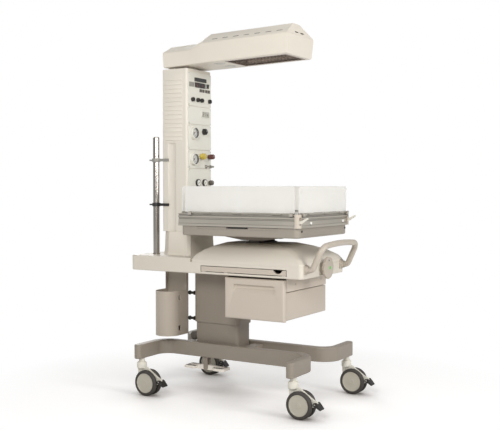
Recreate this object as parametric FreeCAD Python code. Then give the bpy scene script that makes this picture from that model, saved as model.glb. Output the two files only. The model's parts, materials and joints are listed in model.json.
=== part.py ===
import FreeCAD, Part
import math
import os

V = FreeCAD.Vector

# Infant resuscitation unit, millimetres. +Z is up, -Y is the front where the operator stands,
# and +X is the operator's right. The origin is on the floor, under the middle of the outline.

# Base and castors
leg_front_y = -444.0
leg_rear_y = 469.0
leg_tip_x = 332.0
leg_inner_x = 75.0
leg_width = 40.0
leg_bottom_z = 186.0
leg_height = 72.0
leg_bend_r = 60.0
leg_edge_r = 5.0
stem_x = 286.0
stem_r = 10.0
stem_hole_clearance = 0.1
stem_depth = 46.0
wheel_d = 130.0
wheel_width = 24.0
wheel_gap = 16.0
wheel_trail = 41.0
hub_r = 50.0
hub_boss_r = 12.0
axle_r = 6.0
neck_r = 25.0
neck_bottom_z = 133.0
neck_height = 34.0
swivel_gap = 0.3
running_gap = 0.05
brake_width = 38.0
brake_pivot = (-116.0, 76.0)
brake_tip = (-149.0, 52.0)
brake_pin_r = 4.0
plate_t = 8.0
plate_edge = 15.0
cross_beam_w = 50.0
cross_beam_wall = 4.0
cross_beam_top_z = 246.0

# Height pedal
pedal_x = -88.0
pedal_y = 183.0
pedal_length = 240.0
pedal_bar = 22.0
pedal_pad_w = 72.0
pedal_pad_l = 66.0
pedal_z = 132.0
pedal_pin_r = 5.0
pedal_side_gap = 0.3
pedal_ear_t = 5.0
pedal_yoke_t = 4.0
pedal_yoke_w = 44.0
pedal_foot_w = 20.0

# Lifting column
column_y = 144.5
post_x = 121.0
post_y = 260.0
post_wall = 4.0
post_corner = 18.0
post_bottom_z = 200.0
post_top_z = 668.0
cover_gap = 5.0
cover_wall = 3.0
cover_bottom_z = 356.0
pad_t = 4.7
pad_w = 36.0
pad_h = 40.0
inner_gap = 5.0
inner_wall = 3.0
inner_corner = 8.0
inner_bottom_z = 240.0
slide_gap = 0.3
lift_plate_t = 6.0
lift_plate_edge = (30.0, 20.0)
actuator_r = 30.0
actuator_top_z = 500.0
actuator_play = 1.5
spindle_r = 17.0
spindle_bottom_z = 300.0
motor_r = 22.0
motor_length = 96.0
motor_z = 277.0

# Shelf, dome, plinth and trays
shelf_x = 450.0
shelf_front_y = -436.0
shelf_rear_y = 566.0
shelf_bottom_z = 624.0
shelf_step_z = 680.0
shelf_top_z = 700.0
shelf_wall = 3.0
shelf_corner = 20.0
shelf_edge_r = 6.0
shelf_lip = 14.0
dome_rear_y = 192.0
dome_skirt = 12.0
dome_top_z = 775.0
dome_top_x = 200.0
dome_top_front_y = -258.0
dome_top_rear_y = 74.0
dome_wall = 3.0
# Share of the dome's height, and share of the way in from its rim to its top there.
dome_levels = ((0.36, 0.10), (0.62, 0.34), (0.84, 0.66), (1.0, 1.0))
plinth_x = 260.0
plinth_front_y = 266.0
plinth_rear_y = 452.0
plinth_front_cut = 14.0
plinth_rear_cut = (36.0, 50.0)
# Height above the shelf, and how far the sides and the front have drawn in there.
plinth_levels = ((0.0, 0.0, 0.0), (26.0, 9.0, 5.0), (106.0, 14.0, 8.0), (122.0, 18.0, 20.0))
side_tray_front_y = -352.0
side_tray_rear_y = 126.0
side_tray_z = 638.0
side_tray_t = 25.0
side_tray_gap = 0.3
side_tray_reveal = 3.0
side_tray_guide_y = (-26.0, -6.0)
side_tray_notch_y = 4.0
side_tray_rim = 4.0
side_tray_lip = 10.0
side_tray_floor = 5.0
side_tray_depth = 285.0
side_tray_notch = 153.0

# Drawer
drawer_front_y = -336.5
drawer_rear_y = -6.5
drawer_x = -217.0
drawer_depth = 445.0
drawer_bottom_z = 417.0
drawer_top_z = 614.0
drawer_face_t = 22.0
drawer_wall = 3.0
drawer_step_z = 553.0
drawer_step = 13.0
drawer_grip_depth = 14.0
# Finger recess: below the top its upper edge, its lower edge outside and its lower edge inside.
drawer_grip_drop = (30.0, 68.0, 50.0)
drawer_grip_half = (121.0, 112.0, 108.0, 104.0)
runner_t = 2.0
runner_bottom_z = 557.0
runner_gap = 0.3

# Push handle
handle_x = 190.0
handle_r = 14.0
handle_z = 668.0
handle_reach = 36.0
handle_rise = 120.0
handle_arch = 18.0
handle_tilt = 65.0
handle_knee_r = 22.0
handle_bend_r = 45.0
handle_arch_r = 1500.0
socket_r = 16.5
socket_length = 14.0

# Cylinder holder
holder_front_y = 324.5
holder_r = 66.0
holder_back_x = -52.0
holder_round_x = -137.0
holder_tall_x = -75.0
holder_slot_w = 17.0
holder_slot_h = 26.0
holder_wall = 3.0
holder_bottom_z = 288.0
holder_cup_z = 518.0
holder_top_z = 607.0
holder_rod_r = 7.0
holder_collar_r = 11.0
holder_rod_x = -51.0

# Upper column
upper_x = 220.0
upper_front_y = 290.0
upper_rear_y = 449.5
upper_bottom_z = 822.0
upper_top_z = 1660.0
upper_wall = 3.0
upper_corner = 12.0
channel_y = 386.0
channel_r = 34.0
channel_depth = 11.0
channel_top_z = 1285.0
louvre_count = 15
louvre_pitch = 22.0
louvre_bottom_z = 1292.0
louvre_y = (321.0, 429.0)
louvre_h = 11.0
louvre_out = 4.0
pole_x = -112.0
pole_y = 486.5
pole_r = 16.5
pole_wall = 2.0
pole_top_z = 1313.0
bracket_z = (960.0, 1192.0)
hub_r_head = 55.0
hub_height = 6.0
spindle_r_head = 22.0

# Controls on the column's front
panel_x = 206.0
panel_t = 4.0
panel_corner = 8.0
panel_gap = 3.0
panel_seams = (1012.0, 1148.0, 1244.0, 1375.0, 1469.0, 1645.0)
gauge_x = -60.0
gauge_z = (1196.0, 1330.0)
gauge_r = 31.0
gauge_depth = 18.0
lens_t = 1.5
lens_r = 27.5
lens_seat = 3.0
dial_t = 4.0
needle_pin_r = 1.5
needle_rest = 135.0
knob_seats = {
    "oxygen_knob": (8.0, 1211.0, 17.0, 30.0),
    "pressure_knob": (80.0, 1211.0, 14.0, 34.0),
    "suction_knob": (88.0, 1074.0, 14.0, 22.0),
}
knob_flutes = 8
knob_gap = 0.3
# Low and high x, then low and high z of each display.
displays = ((-50.0, 58.0, 1598.0, 1618.0), (-47.0, 43.0, 1567.0, 1593.0), (12.0, 84.0, 1414.0, 1449.0))
display_t = 3.0
# Each row of keys: its height, its first key's x and the pitch, then how many keys each row has.
key_rows = ((1580.0, -84.0, 21.0), (1554.0, 8.0, 25.0))
key_row_count = (2, 4)
key_half_w = 9.0
key_half_h = 7.0
key_t = 1.5
# Sockets, small gauges and hose nipples: x, z, radius, core radius, reach, step of the core.
fittings = (
    (-69.0, 1503.0, 11.0, 6.0, 12.0, -3.0),
    (-23.0, 1503.0, 11.0, 6.0, 12.0, -3.0),
    (13.0, 1503.0, 11.0, 6.0, 12.0, -3.0),
    (86.0, 1503.0, 11.0, 6.0, 12.0, -3.0),
    (-22.0, 1074.0, 19.0, 9.0, 10.0, -3.0),
    (38.0, 1074.0, 19.0, 9.0, 10.0, -3.0),
    (52.0, 1159.0, 9.0, 5.0, 8.0, 16.0),
    (92.0, 1159.0, 9.0, 5.0, 8.0, 16.0),
    (34.0, 1341.0, 16.0, 9.0, 16.0, 6.0),
)
switch_x = 74.0
switch_z = 1581.0
switch_w = 16.0
switch_h = 22.0

# Heater head
head_bottom_z = 1670.0
head_front_y = -310.0
head_rear_y = 432.0
head_half_bottom = 127.0
head_half_crease = 138.0
head_half_ridge = 34.0
head_crease_rise = 98.0
head_ridge_rise = 61.0
arm_half_bottom = 120.0
arm_half_crease = 124.0
arm_half_ridge = 40.0
arm_crease_rise = 75.0
arm_ridge_rise = 42.0
ramp_front_y = 186.0
ramp_rear_y = 270.0
head_wall = 3.0
head_slope = 1.3
head_crease_z = head_bottom_z + head_crease_rise
head_ridge_z = head_crease_z + head_ridge_rise
arm_crease_z = head_bottom_z + arm_crease_rise
arm_ridge_z = arm_crease_z + arm_ridge_rise
nose_lean_top = 24.0
nose_lean_bottom = 9.0
cut_margin = 50.0
vent_count = 7
vent_inset = 30.0
vent_width = 8.0
vent_start = 42.0
vent_pitch = 62.0
vent_length = 34.0
nose_vent_x = 8.0
nose_vent_length = 38.0
heater_x = 208.0
heater_front_y = -284.0
heater_rear_y = 70.0
grille_wire = 1.25
grille_frame = 12.0
grille_flange = 8.0
grille_bars = 17
element_r = 7.0
element_x = 45.0
lamp_r = 30.0
lamp_x = 52.0
lamp_y = 128.0

# Tilting bassinet
tilt_y = -90.0
tilt_z = 797.0
tilt_pin_r = 8.0
tilt_lug_x = 70.0
tilt_lug_t = 10.0
tilt_lug_r = 11.0
tilt_plate_t = 4.0
cradle_x = 94.0
cradle_half = 175.0
cradle_wall = 6.0
cradle_roof = 3.0
pan_bottom_z = 815.0
pan_top_z = 862.0
pan_wall = 3.0
pan_corner = 24.0
pan_edge_r = 9.0
rail_x = 271.0
rail_front_y = -443.5
rail_rear_y = 230.5
rail_t = 20.0
rail_top_z = 923.0
# Outer face of a rail: share of its height, and depth below the face.
rail_profile = ((0.0, 0.0), (0.18, 0.0), (0.205, 2.5), (0.54, 2.5), (0.56, 5.0), (0.66, 5.0), (0.69, 0.0),
                (0.82, 0.0), (0.836, 4.0), (0.918, 4.0), (0.943, 0.0), (1.0, 0.0))
post_square = 22.0
post_round = 20.0
deck_z = 866.0
deck_t = 4.0
ledge = 9.0
mattress_gap = 4.0
mattress_t = 52.0
glass_t = 6.0
glass_top_z = 1056.0
glass_inset = 8.0
side_glass_y = (-414.5, 192.5)
front_glass_half = 249.0
hinge_out = 6.0
hinge_z = 928.0
hinge_pin_r = 2.5
knuckle_r = 5.0
xray_y = (-330.0, 120.0)
xray_t = 11.0
xray_depth = 430.0
xray_drop = 2.0
xray_grip_half = 62.0
lever_x = 258.0
lever_reach = 40.0
lever_back = 6.0
lever_drop = 34.0
lever_half = 6.0
lever_gap = 0.3
lever_pin_r = 3.0

# Tilt knob
tilt_knob_z = 664.0
tilt_knob_r = 53.0
tilt_knob_t = 14.0
tilt_knob_off = 15.0
tilt_knob_scallops = 12
tilt_scallop_r = 9.0
tilt_shaft_r = 8.0

# Places worked out from the sizes above
wheel_r = wheel_d / 2
leg_top_z = leg_bottom_z + leg_height
stem_front_y = leg_front_y + leg_width / 2
stem_rear_y = leg_rear_y - leg_width / 2
leg_outer_x = leg_inner_x + leg_width
half_shelf = shelf_x / 2
half_upper = upper_x / 2
upper_mid_y = (upper_front_y + upper_rear_y) / 2
cover_x = post_x + 2 * (cover_gap + cover_wall)
cover_y = post_y + 2 * (cover_gap + cover_wall)
panel_front = upper_front_y - panel_t
dial_y = panel_front - dial_t
xray_z = pan_top_z - xray_t - xray_drop
lever_y = rail_front_y + lever_back
lever_z = rail_top_z - lever_drop
along = {"x": V(1, 0, 0), "y": V(0, 1, 0), "z": V(0, 0, 1)}


def at(axis, offset, u, v):
    """A point of a drawing plane that lies square to one axis."""
    if axis == "x":
        return V(offset, u, v)
    if axis == "y":
        return V(u, offset, v)
    return V(u, v, offset)


def outline(corners, axis="z", offset=0.0):
    """Closed wire through corners (u, v) or (u, v, radius), rounded by tangent arcs."""
    count = len(corners)
    spans = []
    for i in range(count):
        before = V(corners[i - 1][0], corners[i - 1][1], 0)
        here = V(corners[i][0], corners[i][1], 0)
        after = V(corners[(i + 1) % count][0], corners[(i + 1) % count][1], 0)
        radius = corners[i][2] if len(corners[i]) > 2 else 0.0
        if radius <= 0:
            spans.append((here, None, here))
            continue
        back = (before - here).normalize()
        ahead = (after - here).normalize()
        half = math.acos(max(-1.0, min(1.0, back.dot(ahead)))) / 2
        reach = radius / math.tan(half)
        inward = (back + ahead).normalize()
        middle = here + inward * (radius / math.sin(half) - radius)
        spans.append((here + back * reach, middle, here + ahead * reach))
    edges = []
    for i in range(count):
        start, middle, end = spans[i]
        if middle is not None:
            bend = [at(axis, offset, p.x, p.y) for p in (start, middle, end)]
            edges.append(Part.Arc(*bend).toShape())
        following = spans[(i + 1) % count][0]
        if (following - end).Length > 1e-6:
            edges.append(Part.LineSegment(at(axis, offset, end.x, end.y),
                                          at(axis, offset, following.x, following.y)).toShape())
    return Part.Wire(edges)


def prism(corners, axis, start, end):
    """Solid between two planes square to an axis, with the outline as its section."""
    return Part.Face(outline(corners, axis, start)).extrude(along[axis] * (end - start))


def rectangle(u0, u1, v0, v1, radius=0.0):
    """Corners of an upright rectangle with one corner radius."""
    return [(u0, v0, radius), (u1, v0, radius), (u1, v1, radius), (u0, v1, radius)]


def slab(x0, x1, y0, y1, z0, z1, radius=0.0):
    """Plate or block with rounded upright edges."""
    return prism(rectangle(x0, x1, y0, y1, radius), "z", z0, z1)


def rod(axis, centre, radius, start, end):
    """Cylinder along an axis, from start to end, through centre (the two other coordinates)."""
    foot = at(axis, start, centre[0], centre[1])
    return Part.makeCylinder(radius, end - start, foot, along[axis])


def tube(axis, centre, outer, inner, start, end):
    """Round pipe along an axis."""
    return rod(axis, centre, outer, start, end).cut(rod(axis, centre, inner, start, end))


def turned(half_section, axis, centre):
    """Turned solid: half_section holds (along, radius) corners, spun about a line along an axis."""
    if axis == "z":
        swapped = [(corner[1], corner[0]) + tuple(corner[2:]) for corner in half_section]
        wire = outline(swapped, "y")
    else:
        wire = outline(half_section, "z" if axis == "x" else "x")
    wire.translate(centre)
    return Part.Face(wire).revolve(centre, along[axis], 360)


def mirrored(shape):
    """The same piece on the other side of the unit."""
    return shape.mirror(V(0, 0, 0), V(1, 0, 0))


def joined(shapes):
    """One solid out of pieces that overlap or touch."""
    first = shapes[0]
    return first.multiFuse(shapes[1:]).removeSplitter() if len(shapes) > 1 else first


def group(shapes):
    """Separate solids kept in one node."""
    solids = []
    for shape in shapes:
        solids.extend(shape.Solids)
    return Part.makeCompound(solids)


def rounded_edges(shape, radius, wanted):
    """Fillet the edges that the test picks."""
    edges = [edge for edge in shape.Edges if wanted(edge)]
    return shape.makeFillet(radius, edges) if edges else shape


def level(z):
    """Test for edges that lie flat at height z."""
    return lambda edge: abs(edge.BoundBox.ZMin - z) < 1e-4 and abs(edge.BoundBox.ZMax - z) < 1e-4


def tube_path(points, radii):
    """Open wire through 3-D points, with a tangent arc of the given radius at each inner point."""
    edges = []
    start = points[0]
    for i in range(1, len(points) - 1):
        here = points[i]
        back = (points[i - 1] - here).normalize()
        ahead = (points[i + 1] - here).normalize()
        half = math.acos(back.dot(ahead)) / 2
        reach = radii[i - 1] / math.tan(half)
        inward = (back + ahead).normalize()
        middle = here + inward * (radii[i - 1] / math.sin(half) - radii[i - 1])
        first = here + back * reach
        last = here + ahead * reach
        edges.append(Part.LineSegment(start, first).toShape())
        edges.append(Part.Arc(first, middle, last).toShape())
        start = last
    edges.append(Part.LineSegment(start, points[-1]).toShape())
    return Part.Wire(edges)


def make_leg():
    """Left leg: a flat bar bent at both ends towards its castors."""
    plan = [
        (-leg_tip_x, leg_front_y, leg_width * 0.45),
        (-leg_inner_x, leg_front_y, leg_bend_r + leg_width),
        (-leg_inner_x, leg_rear_y, leg_bend_r + leg_width),
        (-leg_tip_x, leg_rear_y, leg_width * 0.45),
        (-leg_tip_x, leg_rear_y - leg_width, leg_width * 0.45),
        (-leg_outer_x, leg_rear_y - leg_width, leg_bend_r),
        (-leg_outer_x, leg_front_y + leg_width, leg_bend_r),
        (-leg_tip_x, leg_front_y + leg_width, leg_width * 0.45),
    ]
    leg = prism(plan, "z", leg_bottom_z, leg_top_z)
    leg = rounded_edges(leg, leg_edge_r, level(leg_top_z))
    leg = rounded_edges(leg, leg_edge_r, level(leg_bottom_z))
    for y in (stem_front_y, stem_rear_y):
        bore = rod("z", (-stem_x, y), stem_r + stem_hole_clearance,
                   leg_bottom_z - 1, leg_bottom_z + stem_depth + 2)
        leg = leg.cut(bore)
    return leg


def make_cross_frame():
    """Column plate and two cross beams between the legs, and the pedal's hanging bracket."""
    front = column_y - post_y / 2 - plate_edge
    rear = column_y + post_y / 2 + plate_edge
    plate_low = post_bottom_z - plate_t
    plate = slab(-leg_inner_x, leg_inner_x, front, rear, plate_low, post_bottom_z)
    beams = []
    for y in (front - cross_beam_w, rear):
        outer = slab(-leg_inner_x, leg_inner_x, y, y + cross_beam_w, plate_low, cross_beam_top_z)
        inner = slab(-leg_inner_x, leg_inner_x, y + cross_beam_wall, y + cross_beam_w - cross_beam_wall,
                     plate_low - 1, cross_beam_top_z - cross_beam_wall)
        beams.append(outer.cut(inner))
    arm = pedal_pin_r + 7
    low = pedal_z - arm
    top = leg_bottom_z - pedal_yoke_t
    inside = pedal_bar / 2 + pedal_side_gap
    outside = inside + pedal_ear_t
    ears = []
    for x in (pedal_x - outside, pedal_x + inside):
        side_view = [(pedal_y - arm, low, 8), (pedal_y + arm, low, 8),
                     (pedal_y + arm, top), (pedal_y - arm, top)]
        ears.append(prism(side_view, "x", x, x + pedal_ear_t))
    y0 = pedal_y - pedal_yoke_w / 2
    y1 = pedal_y + pedal_yoke_w / 2
    foot_x = -leg_inner_x + pedal_foot_w
    yoke = slab(pedal_x - outside, foot_x, y0, y1, top, leg_bottom_z)
    foot = slab(-leg_inner_x, foot_x, y0, y1, top, plate_low)
    pin = rod("x", (pedal_y, pedal_z), pedal_pin_r, pedal_x - outside, pedal_x + outside)
    return group([joined([plate] + beams), joined([yoke, foot] + ears + [pin])])


def make_pedal():
    """Two-way rocker: a bar along the leg with a pad at each end."""
    half = pedal_length / 2
    low = pedal_z - 8
    top = pedal_z + 5
    bar_side = [
        (pedal_y - half, low, 6),
        (pedal_y - 20, pedal_z - 12, 20),
        (pedal_y + 20, pedal_z - 12, 20),
        (pedal_y + half, low, 6),
        (pedal_y + half, top, 5),
        (pedal_y + 20, pedal_z + 12, 20),
        (pedal_y - 20, pedal_z + 12, 20),
        (pedal_y - half, top, 5),
    ]
    bar = prism(bar_side, "x", pedal_x - pedal_bar / 2, pedal_x + pedal_bar / 2)
    x0 = pedal_x - pedal_pad_w / 2
    x1 = pedal_x + pedal_pad_w / 2
    pads = []
    for side in (-1, 1):
        end = pedal_y + side * half
        y0, y1 = sorted((end - side * pedal_pad_l, end))
        pads.append(rounded_edges(slab(x0, x1, y0, y1, low, top, 10), 3, level(top)))
    rocker = joined([bar] + pads)
    return rocker.cut(rod("x", (pedal_y, pedal_z), pedal_pin_r + running_gap,
                          pedal_x - pedal_bar, pedal_x + pedal_bar))


def make_castor_housing(x, y):
    """Swivel housing of a castor: stem, collar, neck, and the web between the two wheels."""
    neck_top = neck_bottom_z + neck_height
    web_half = wheel_gap / 2 - 1.5
    centre = V(x, y, 0)
    neck = turned([(neck_bottom_z, 0), (neck_bottom_z, neck_r - 4), (neck_bottom_z + 5, neck_r),
                   (neck_top - 6, neck_r), (neck_top, neck_r - 5), (neck_top, 0)], "z", centre)
    collar = rod("z", (x, y), stem_r + 5, neck_top, leg_bottom_z - swivel_gap)
    stem = rod("z", (x, y), stem_r, neck_top, leg_bottom_z + stem_depth)
    wheel_y = y - wheel_trail
    pivot_y = y + brake_pivot[0]
    pivot_z = brake_pivot[1]
    side_view = [
        (y + neck_r - 4, neck_bottom_z + 4, 4),
        (y + neck_r - 6, wheel_r + 30, 20),
        (wheel_y + 22, wheel_r - 22, 24),
        (wheel_y - 22, wheel_r - 22, 24),
        (pivot_y + 14, pivot_z - 16, 12),
        (pivot_y - 9, pivot_z - 9, 7),
        (pivot_y - 9, pivot_z + 9, 7),
        (pivot_y + 18, pivot_z + 22, 20),
        (y - neck_r - 6, neck_bottom_z + 9, 18),
        (y, neck_bottom_z + 12),
    ]
    web = prism(side_view, "x", x - web_half, x + web_half)
    body = joined([neck, collar, stem, web])
    body = body.cut(rod("x", (wheel_y, wheel_r), axle_r + running_gap, x - wheel_gap, x + wheel_gap))
    pin_half = brake_width / 2 - 4
    pin = rod("x", (pivot_y, pivot_z), brake_pin_r, x - pin_half, x + pin_half)
    return joined([body, pin])


def make_castor_wheels(x, y):
    """Two tyres with dished hub covers on one axle."""
    wheel_y = y - wheel_trail
    solids = [rod("x", (wheel_y, wheel_r), axle_r, x - wheel_gap / 2 - 6, x + wheel_gap / 2 + 6)]
    for side in (-1, 1):
        inside = x + side * wheel_gap / 2
        w = side * wheel_width
        outside = inside + w
        seat = inside + side * 6
        tyre_section = [
            (inside, hub_r), (inside, wheel_r - 7), (inside + w * 0.25, wheel_r - 1.2, 4),
            (inside + w * 0.5, wheel_r), (inside + w * 0.75, wheel_r - 1.2, 4),
            (outside, wheel_r - 8), (outside, hub_r),
        ]
        hub_section = [
            (inside + w * 0.12, axle_r), (inside + w * 0.12, hub_r), (inside + w * 0.86, hub_r),
            (inside + w * 0.98, hub_r - 6), (inside + w * 0.9, hub_r * 0.5), (outside, hub_boss_r),
            (outside, 0), (seat, 0), (seat, axle_r),
        ]
        for half_section in (tyre_section, hub_section):
            solids.append(turned(half_section, "x", V(0, wheel_y, wheel_r)))
    return group(solids)


def make_castor_brake(x, y):
    """Brake lever: a curved paddle in front of the wheels, on the housing's pin."""
    py = y + brake_pivot[0]
    pz = brake_pivot[1]
    ty = y + brake_tip[0]
    tz = brake_tip[1]
    side_view = [
        (py + 7, pz - 7, 6),
        (py + 7, pz + 7, 6),
        (py - 10, pz + 9, 8),
        (ty, tz + 6, 2),
        (ty + 3, tz, 2),
        (py - 6, pz - 10, 6),
    ]
    lever = prism(side_view, "x", x - brake_width / 2, x + brake_width / 2)
    lever = lever.cut(rod("x", (py, pz), brake_pin_r + running_gap, x - brake_width, x + brake_width))
    slot_half = wheel_gap / 2 + 0.5
    return lever.cut(slab(x - slot_half, x + slot_half, py - 14, py + 20, pz - 20, pz + 30))


def box_tube(half_x, half_y, wall, corner, z0, z1):
    """Rectangular tube about the column's line, open at both ends."""
    outer = slab(-half_x, half_x, column_y - half_y, column_y + half_y, z0, z1, corner)
    half_x -= wall
    half_y -= wall
    inner = slab(-half_x, half_x, column_y - half_y, column_y + half_y, z0, z1, corner - wall)
    return outer.cut(inner)


def make_post():
    """Fixed lower column: a thick-walled rectangular tube."""
    return box_tube(post_x / 2, post_y / 2, post_wall, post_corner, post_bottom_z, post_top_z)


def make_actuator():
    """Fixed tube of the electric lift, and its motor housing behind the post."""
    bore = spindle_r + actuator_play
    pipe = tube("z", (0, column_y), actuator_r, bore, post_bottom_z, actuator_top_z)
    bush = tube("z", (0, column_y), bore, spindle_r + running_gap, actuator_top_z - 40, actuator_top_z)
    rear = column_y + post_y / 2
    end = motor_length / 2
    half_section = [(-end, 0), (-end, motor_r - 6), (-end + 6, motor_r),
                    (end - 6, motor_r), (end, motor_r - 6), (end, 0)]
    motor = turned(half_section, "x", V(0, rear + motor_r, motor_z))
    saddle = slab(-motor_length / 3, motor_length / 3, rear, rear + motor_r, motor_z - 15, motor_z + 15)
    return group([joined([pipe, bush]), joined([motor, saddle])])


def make_inner_tube():
    """Moving tube inside the post, its spindle, and the plate that carries the shelf."""
    half_x = post_x / 2 - post_wall - inner_gap
    half_y = post_y / 2 - post_wall - inner_gap
    plate_top = shelf_step_z - shelf_wall
    plate_low = plate_top - lift_plate_t
    body = box_tube(half_x, half_y, inner_wall, inner_corner, inner_bottom_z, plate_low)
    plate_half = half_shelf - shelf_wall
    front = column_y - half_y - lift_plate_edge[0]
    rear = column_y + half_y + lift_plate_edge[1]
    plate = slab(-plate_half, plate_half, front, rear, plate_low, plate_top)
    spindle = rod("z", (0, column_y), spindle_r, spindle_bottom_z, plate_low)
    pads = []
    out_x = half_x + inner_gap - slide_gap
    out_y = half_y + inner_gap - slide_gap
    for side in (-1, 1):
        for z in (inner_bottom_z + 10, inner_bottom_z + 90):
            x0, x1 = sorted((side * half_x, side * out_x))
            pads.append(slab(x0, x1, column_y - 60, column_y + 60, z, z + 50))
            y0, y1 = sorted((column_y + side * half_y, column_y + side * out_y))
            pads.append(slab(-20, 20, y0, y1, z, z + 50))
    return group([joined([body] + pads), plate, spindle])


def make_column_cover():
    """Sliding outer cover of the column, with slide pads that run on the post."""
    half_x = cover_x / 2
    half_y = cover_y / 2
    corner = post_corner + cover_gap + cover_wall
    body = box_tube(half_x, half_y, cover_wall, corner, cover_bottom_z, shelf_bottom_z)
    z0 = cover_bottom_z + 6
    z1 = z0 + pad_h
    pads = []
    for side in (-1, 1):
        inside = half_x - cover_wall
        x0, x1 = sorted((side * inside, side * (inside - pad_t)))
        pads.append(slab(x0, x1, column_y - pad_w, column_y + pad_w, z0, z1))
        inside = half_y - cover_wall
        y0, y1 = sorted((column_y + side * inside, column_y + side * (inside - pad_t)))
        pads.append(slab(-pad_w / 2, pad_w / 2, y0, y1, z0, z1))
    return group([body] + pads)


def make_shelf():
    """Shelf body: a thin shell, open under the dome, raised and closed behind it."""
    low = slab(-half_shelf, half_shelf, shelf_front_y, shelf_rear_y, shelf_bottom_z, shelf_step_z,
               shelf_corner)
    low = rounded_edges(low, shelf_edge_r, level(shelf_bottom_z))
    raised_plan = [(-half_shelf, dome_rear_y), (half_shelf, dome_rear_y),
                   (half_shelf, shelf_rear_y, shelf_corner), (-half_shelf, shelf_rear_y, shelf_corner)]
    body = joined([low, prism(raised_plan, "z", shelf_step_z, shelf_top_z)])
    body = rounded_edges(body, shelf_edge_r * 0.6,
                         lambda e: level(shelf_top_z)(e) and e.BoundBox.YMax > dome_rear_y + 1)
    w = shelf_wall
    corner = shelf_corner - w
    cavity = slab(-half_shelf + w, half_shelf - w, shelf_front_y + w, shelf_rear_y - w,
                  shelf_bottom_z + w, shelf_step_z - w, corner)
    mouth = slab(-half_shelf + shelf_lip, half_shelf - shelf_lip, shelf_front_y + shelf_lip,
                 dome_rear_y + w, shelf_step_z - w, shelf_step_z, 8)
    raised = slab(-half_shelf + w, half_shelf - w, dome_rear_y + w, shelf_rear_y - w,
                  shelf_step_z - w, shelf_top_z - w, 6)
    half_x = post_x / 2 + cover_gap
    half_y = post_y / 2 + cover_gap
    well = slab(-half_x, half_x, column_y - half_y, column_y + half_y, shelf_bottom_z - 1,
                shelf_bottom_z + w + 1, post_corner + cover_gap)
    slot = slab(-half_shelf - 1, -half_shelf + w + 1, side_tray_front_y - side_tray_reveal,
                side_tray_rear_y + side_tray_reveal, side_tray_z - side_tray_reveal,
                side_tray_z + side_tray_t + side_tray_reveal)
    body = body.cut(joined([cavity, mouth, raised])).cut(well).cut(slot)
    drill_start = shelf_front_y - 1
    drill_end = shelf_front_y + w + 1
    for x in (-handle_x, handle_x):
        body = body.cut(rod("y", (x, handle_z), handle_r - 2, drill_start, drill_end))
    shaft_hole_r = tilt_shaft_r + running_gap
    body = body.cut(rod("y", (0, tilt_knob_z), shaft_hole_r, drill_start, drill_end))
    inner_end = -half_shelf + side_tray_depth
    notch_end = -half_shelf + side_tray_notch
    guide_spans = [(side_tray_front_y + 4, side_tray_front_y + 24, inner_end),
                   (side_tray_guide_y[0], side_tray_guide_y[1], inner_end),
                   (side_tray_rear_y - 24, side_tray_rear_y - 4, notch_end)]
    guides = []
    for y0, y1, x1 in guide_spans:
        guides.append(slab(-half_shelf + w, x1, y0, y1, shelf_bottom_z + w, side_tray_z - side_tray_gap))
    return joined([body] + guides)


def dome_body(inset):
    """Solid dome, drawn in by an even inset."""
    half = half_shelf - inset
    front = shelf_front_y + inset
    rear = dome_rear_y - inset
    top_half = dome_top_x / 2 - inset
    top_front = dome_top_front_y + inset
    top_rear = dome_top_rear_y - inset
    top = dome_top_z - inset
    rise = top - shelf_step_z
    sections = []
    # The slope is steep at the rim and levels off towards the top.
    for up, share in ((dome_skirt / rise, 0.0),) + dome_levels:
        x = half + (top_half - half) * share
        y0 = front + (top_front - front) * share
        y1 = rear + (top_rear - rear) * share
        radius = shelf_corner - inset + 22 * share
        sections.append(outline(rectangle(-x, x, y0, y1, radius), "z", shelf_step_z + rise * up))
    skirt_top = shelf_step_z + dome_skirt
    skirt = slab(-half, half, front, rear, shelf_step_z, skirt_top, shelf_corner - inset)
    return joined([skirt, Part.makeLoft(sections, True, True)])


def make_dome():
    """Moulded cover on the front half of the shelf, as a shell."""
    return dome_body(0.0).cut(dome_body(dome_wall))


def plinth_plan(side_in, front_in, inset):
    """Eight corners of the plinth at one level, with small front and large rear corner cuts."""
    half = plinth_x / 2 - side_in - inset
    front = plinth_front_y + front_in + inset
    rear = plinth_rear_y - inset
    cut = plinth_front_cut - inset * (2 - math.sqrt(2))
    wide, long = plinth_rear_cut
    # An even inset moves both ends of a slanted corner cut by this share of its legs.
    shrink = 1 - inset * (1 / wide + 1 / long - math.hypot(1 / wide, 1 / long))
    wide *= shrink
    long *= shrink
    return [(-half + cut, front), (half - cut, front), (half, front + cut), (half, rear - long),
            (half - wide, rear), (-half + wide, rear), (-half, rear - long), (-half, front + cut)]


def plinth_body(inset):
    """Solid plinth, flared at its foot and bevelled at its shoulder."""
    rise = (upper_bottom_z - shelf_top_z - inset) / (upper_bottom_z - shelf_top_z)
    wires = []
    for up, side_in, front_in in plinth_levels:
        wires.append(outline(plinth_plan(side_in, front_in, inset), "z", shelf_top_z + up * rise))
    return Part.makeLoft(wires, True, True)


def make_plinth():
    """Foot of the upper column, as a shell."""
    return plinth_body(0.0).cut(plinth_body(dome_wall))


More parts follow.
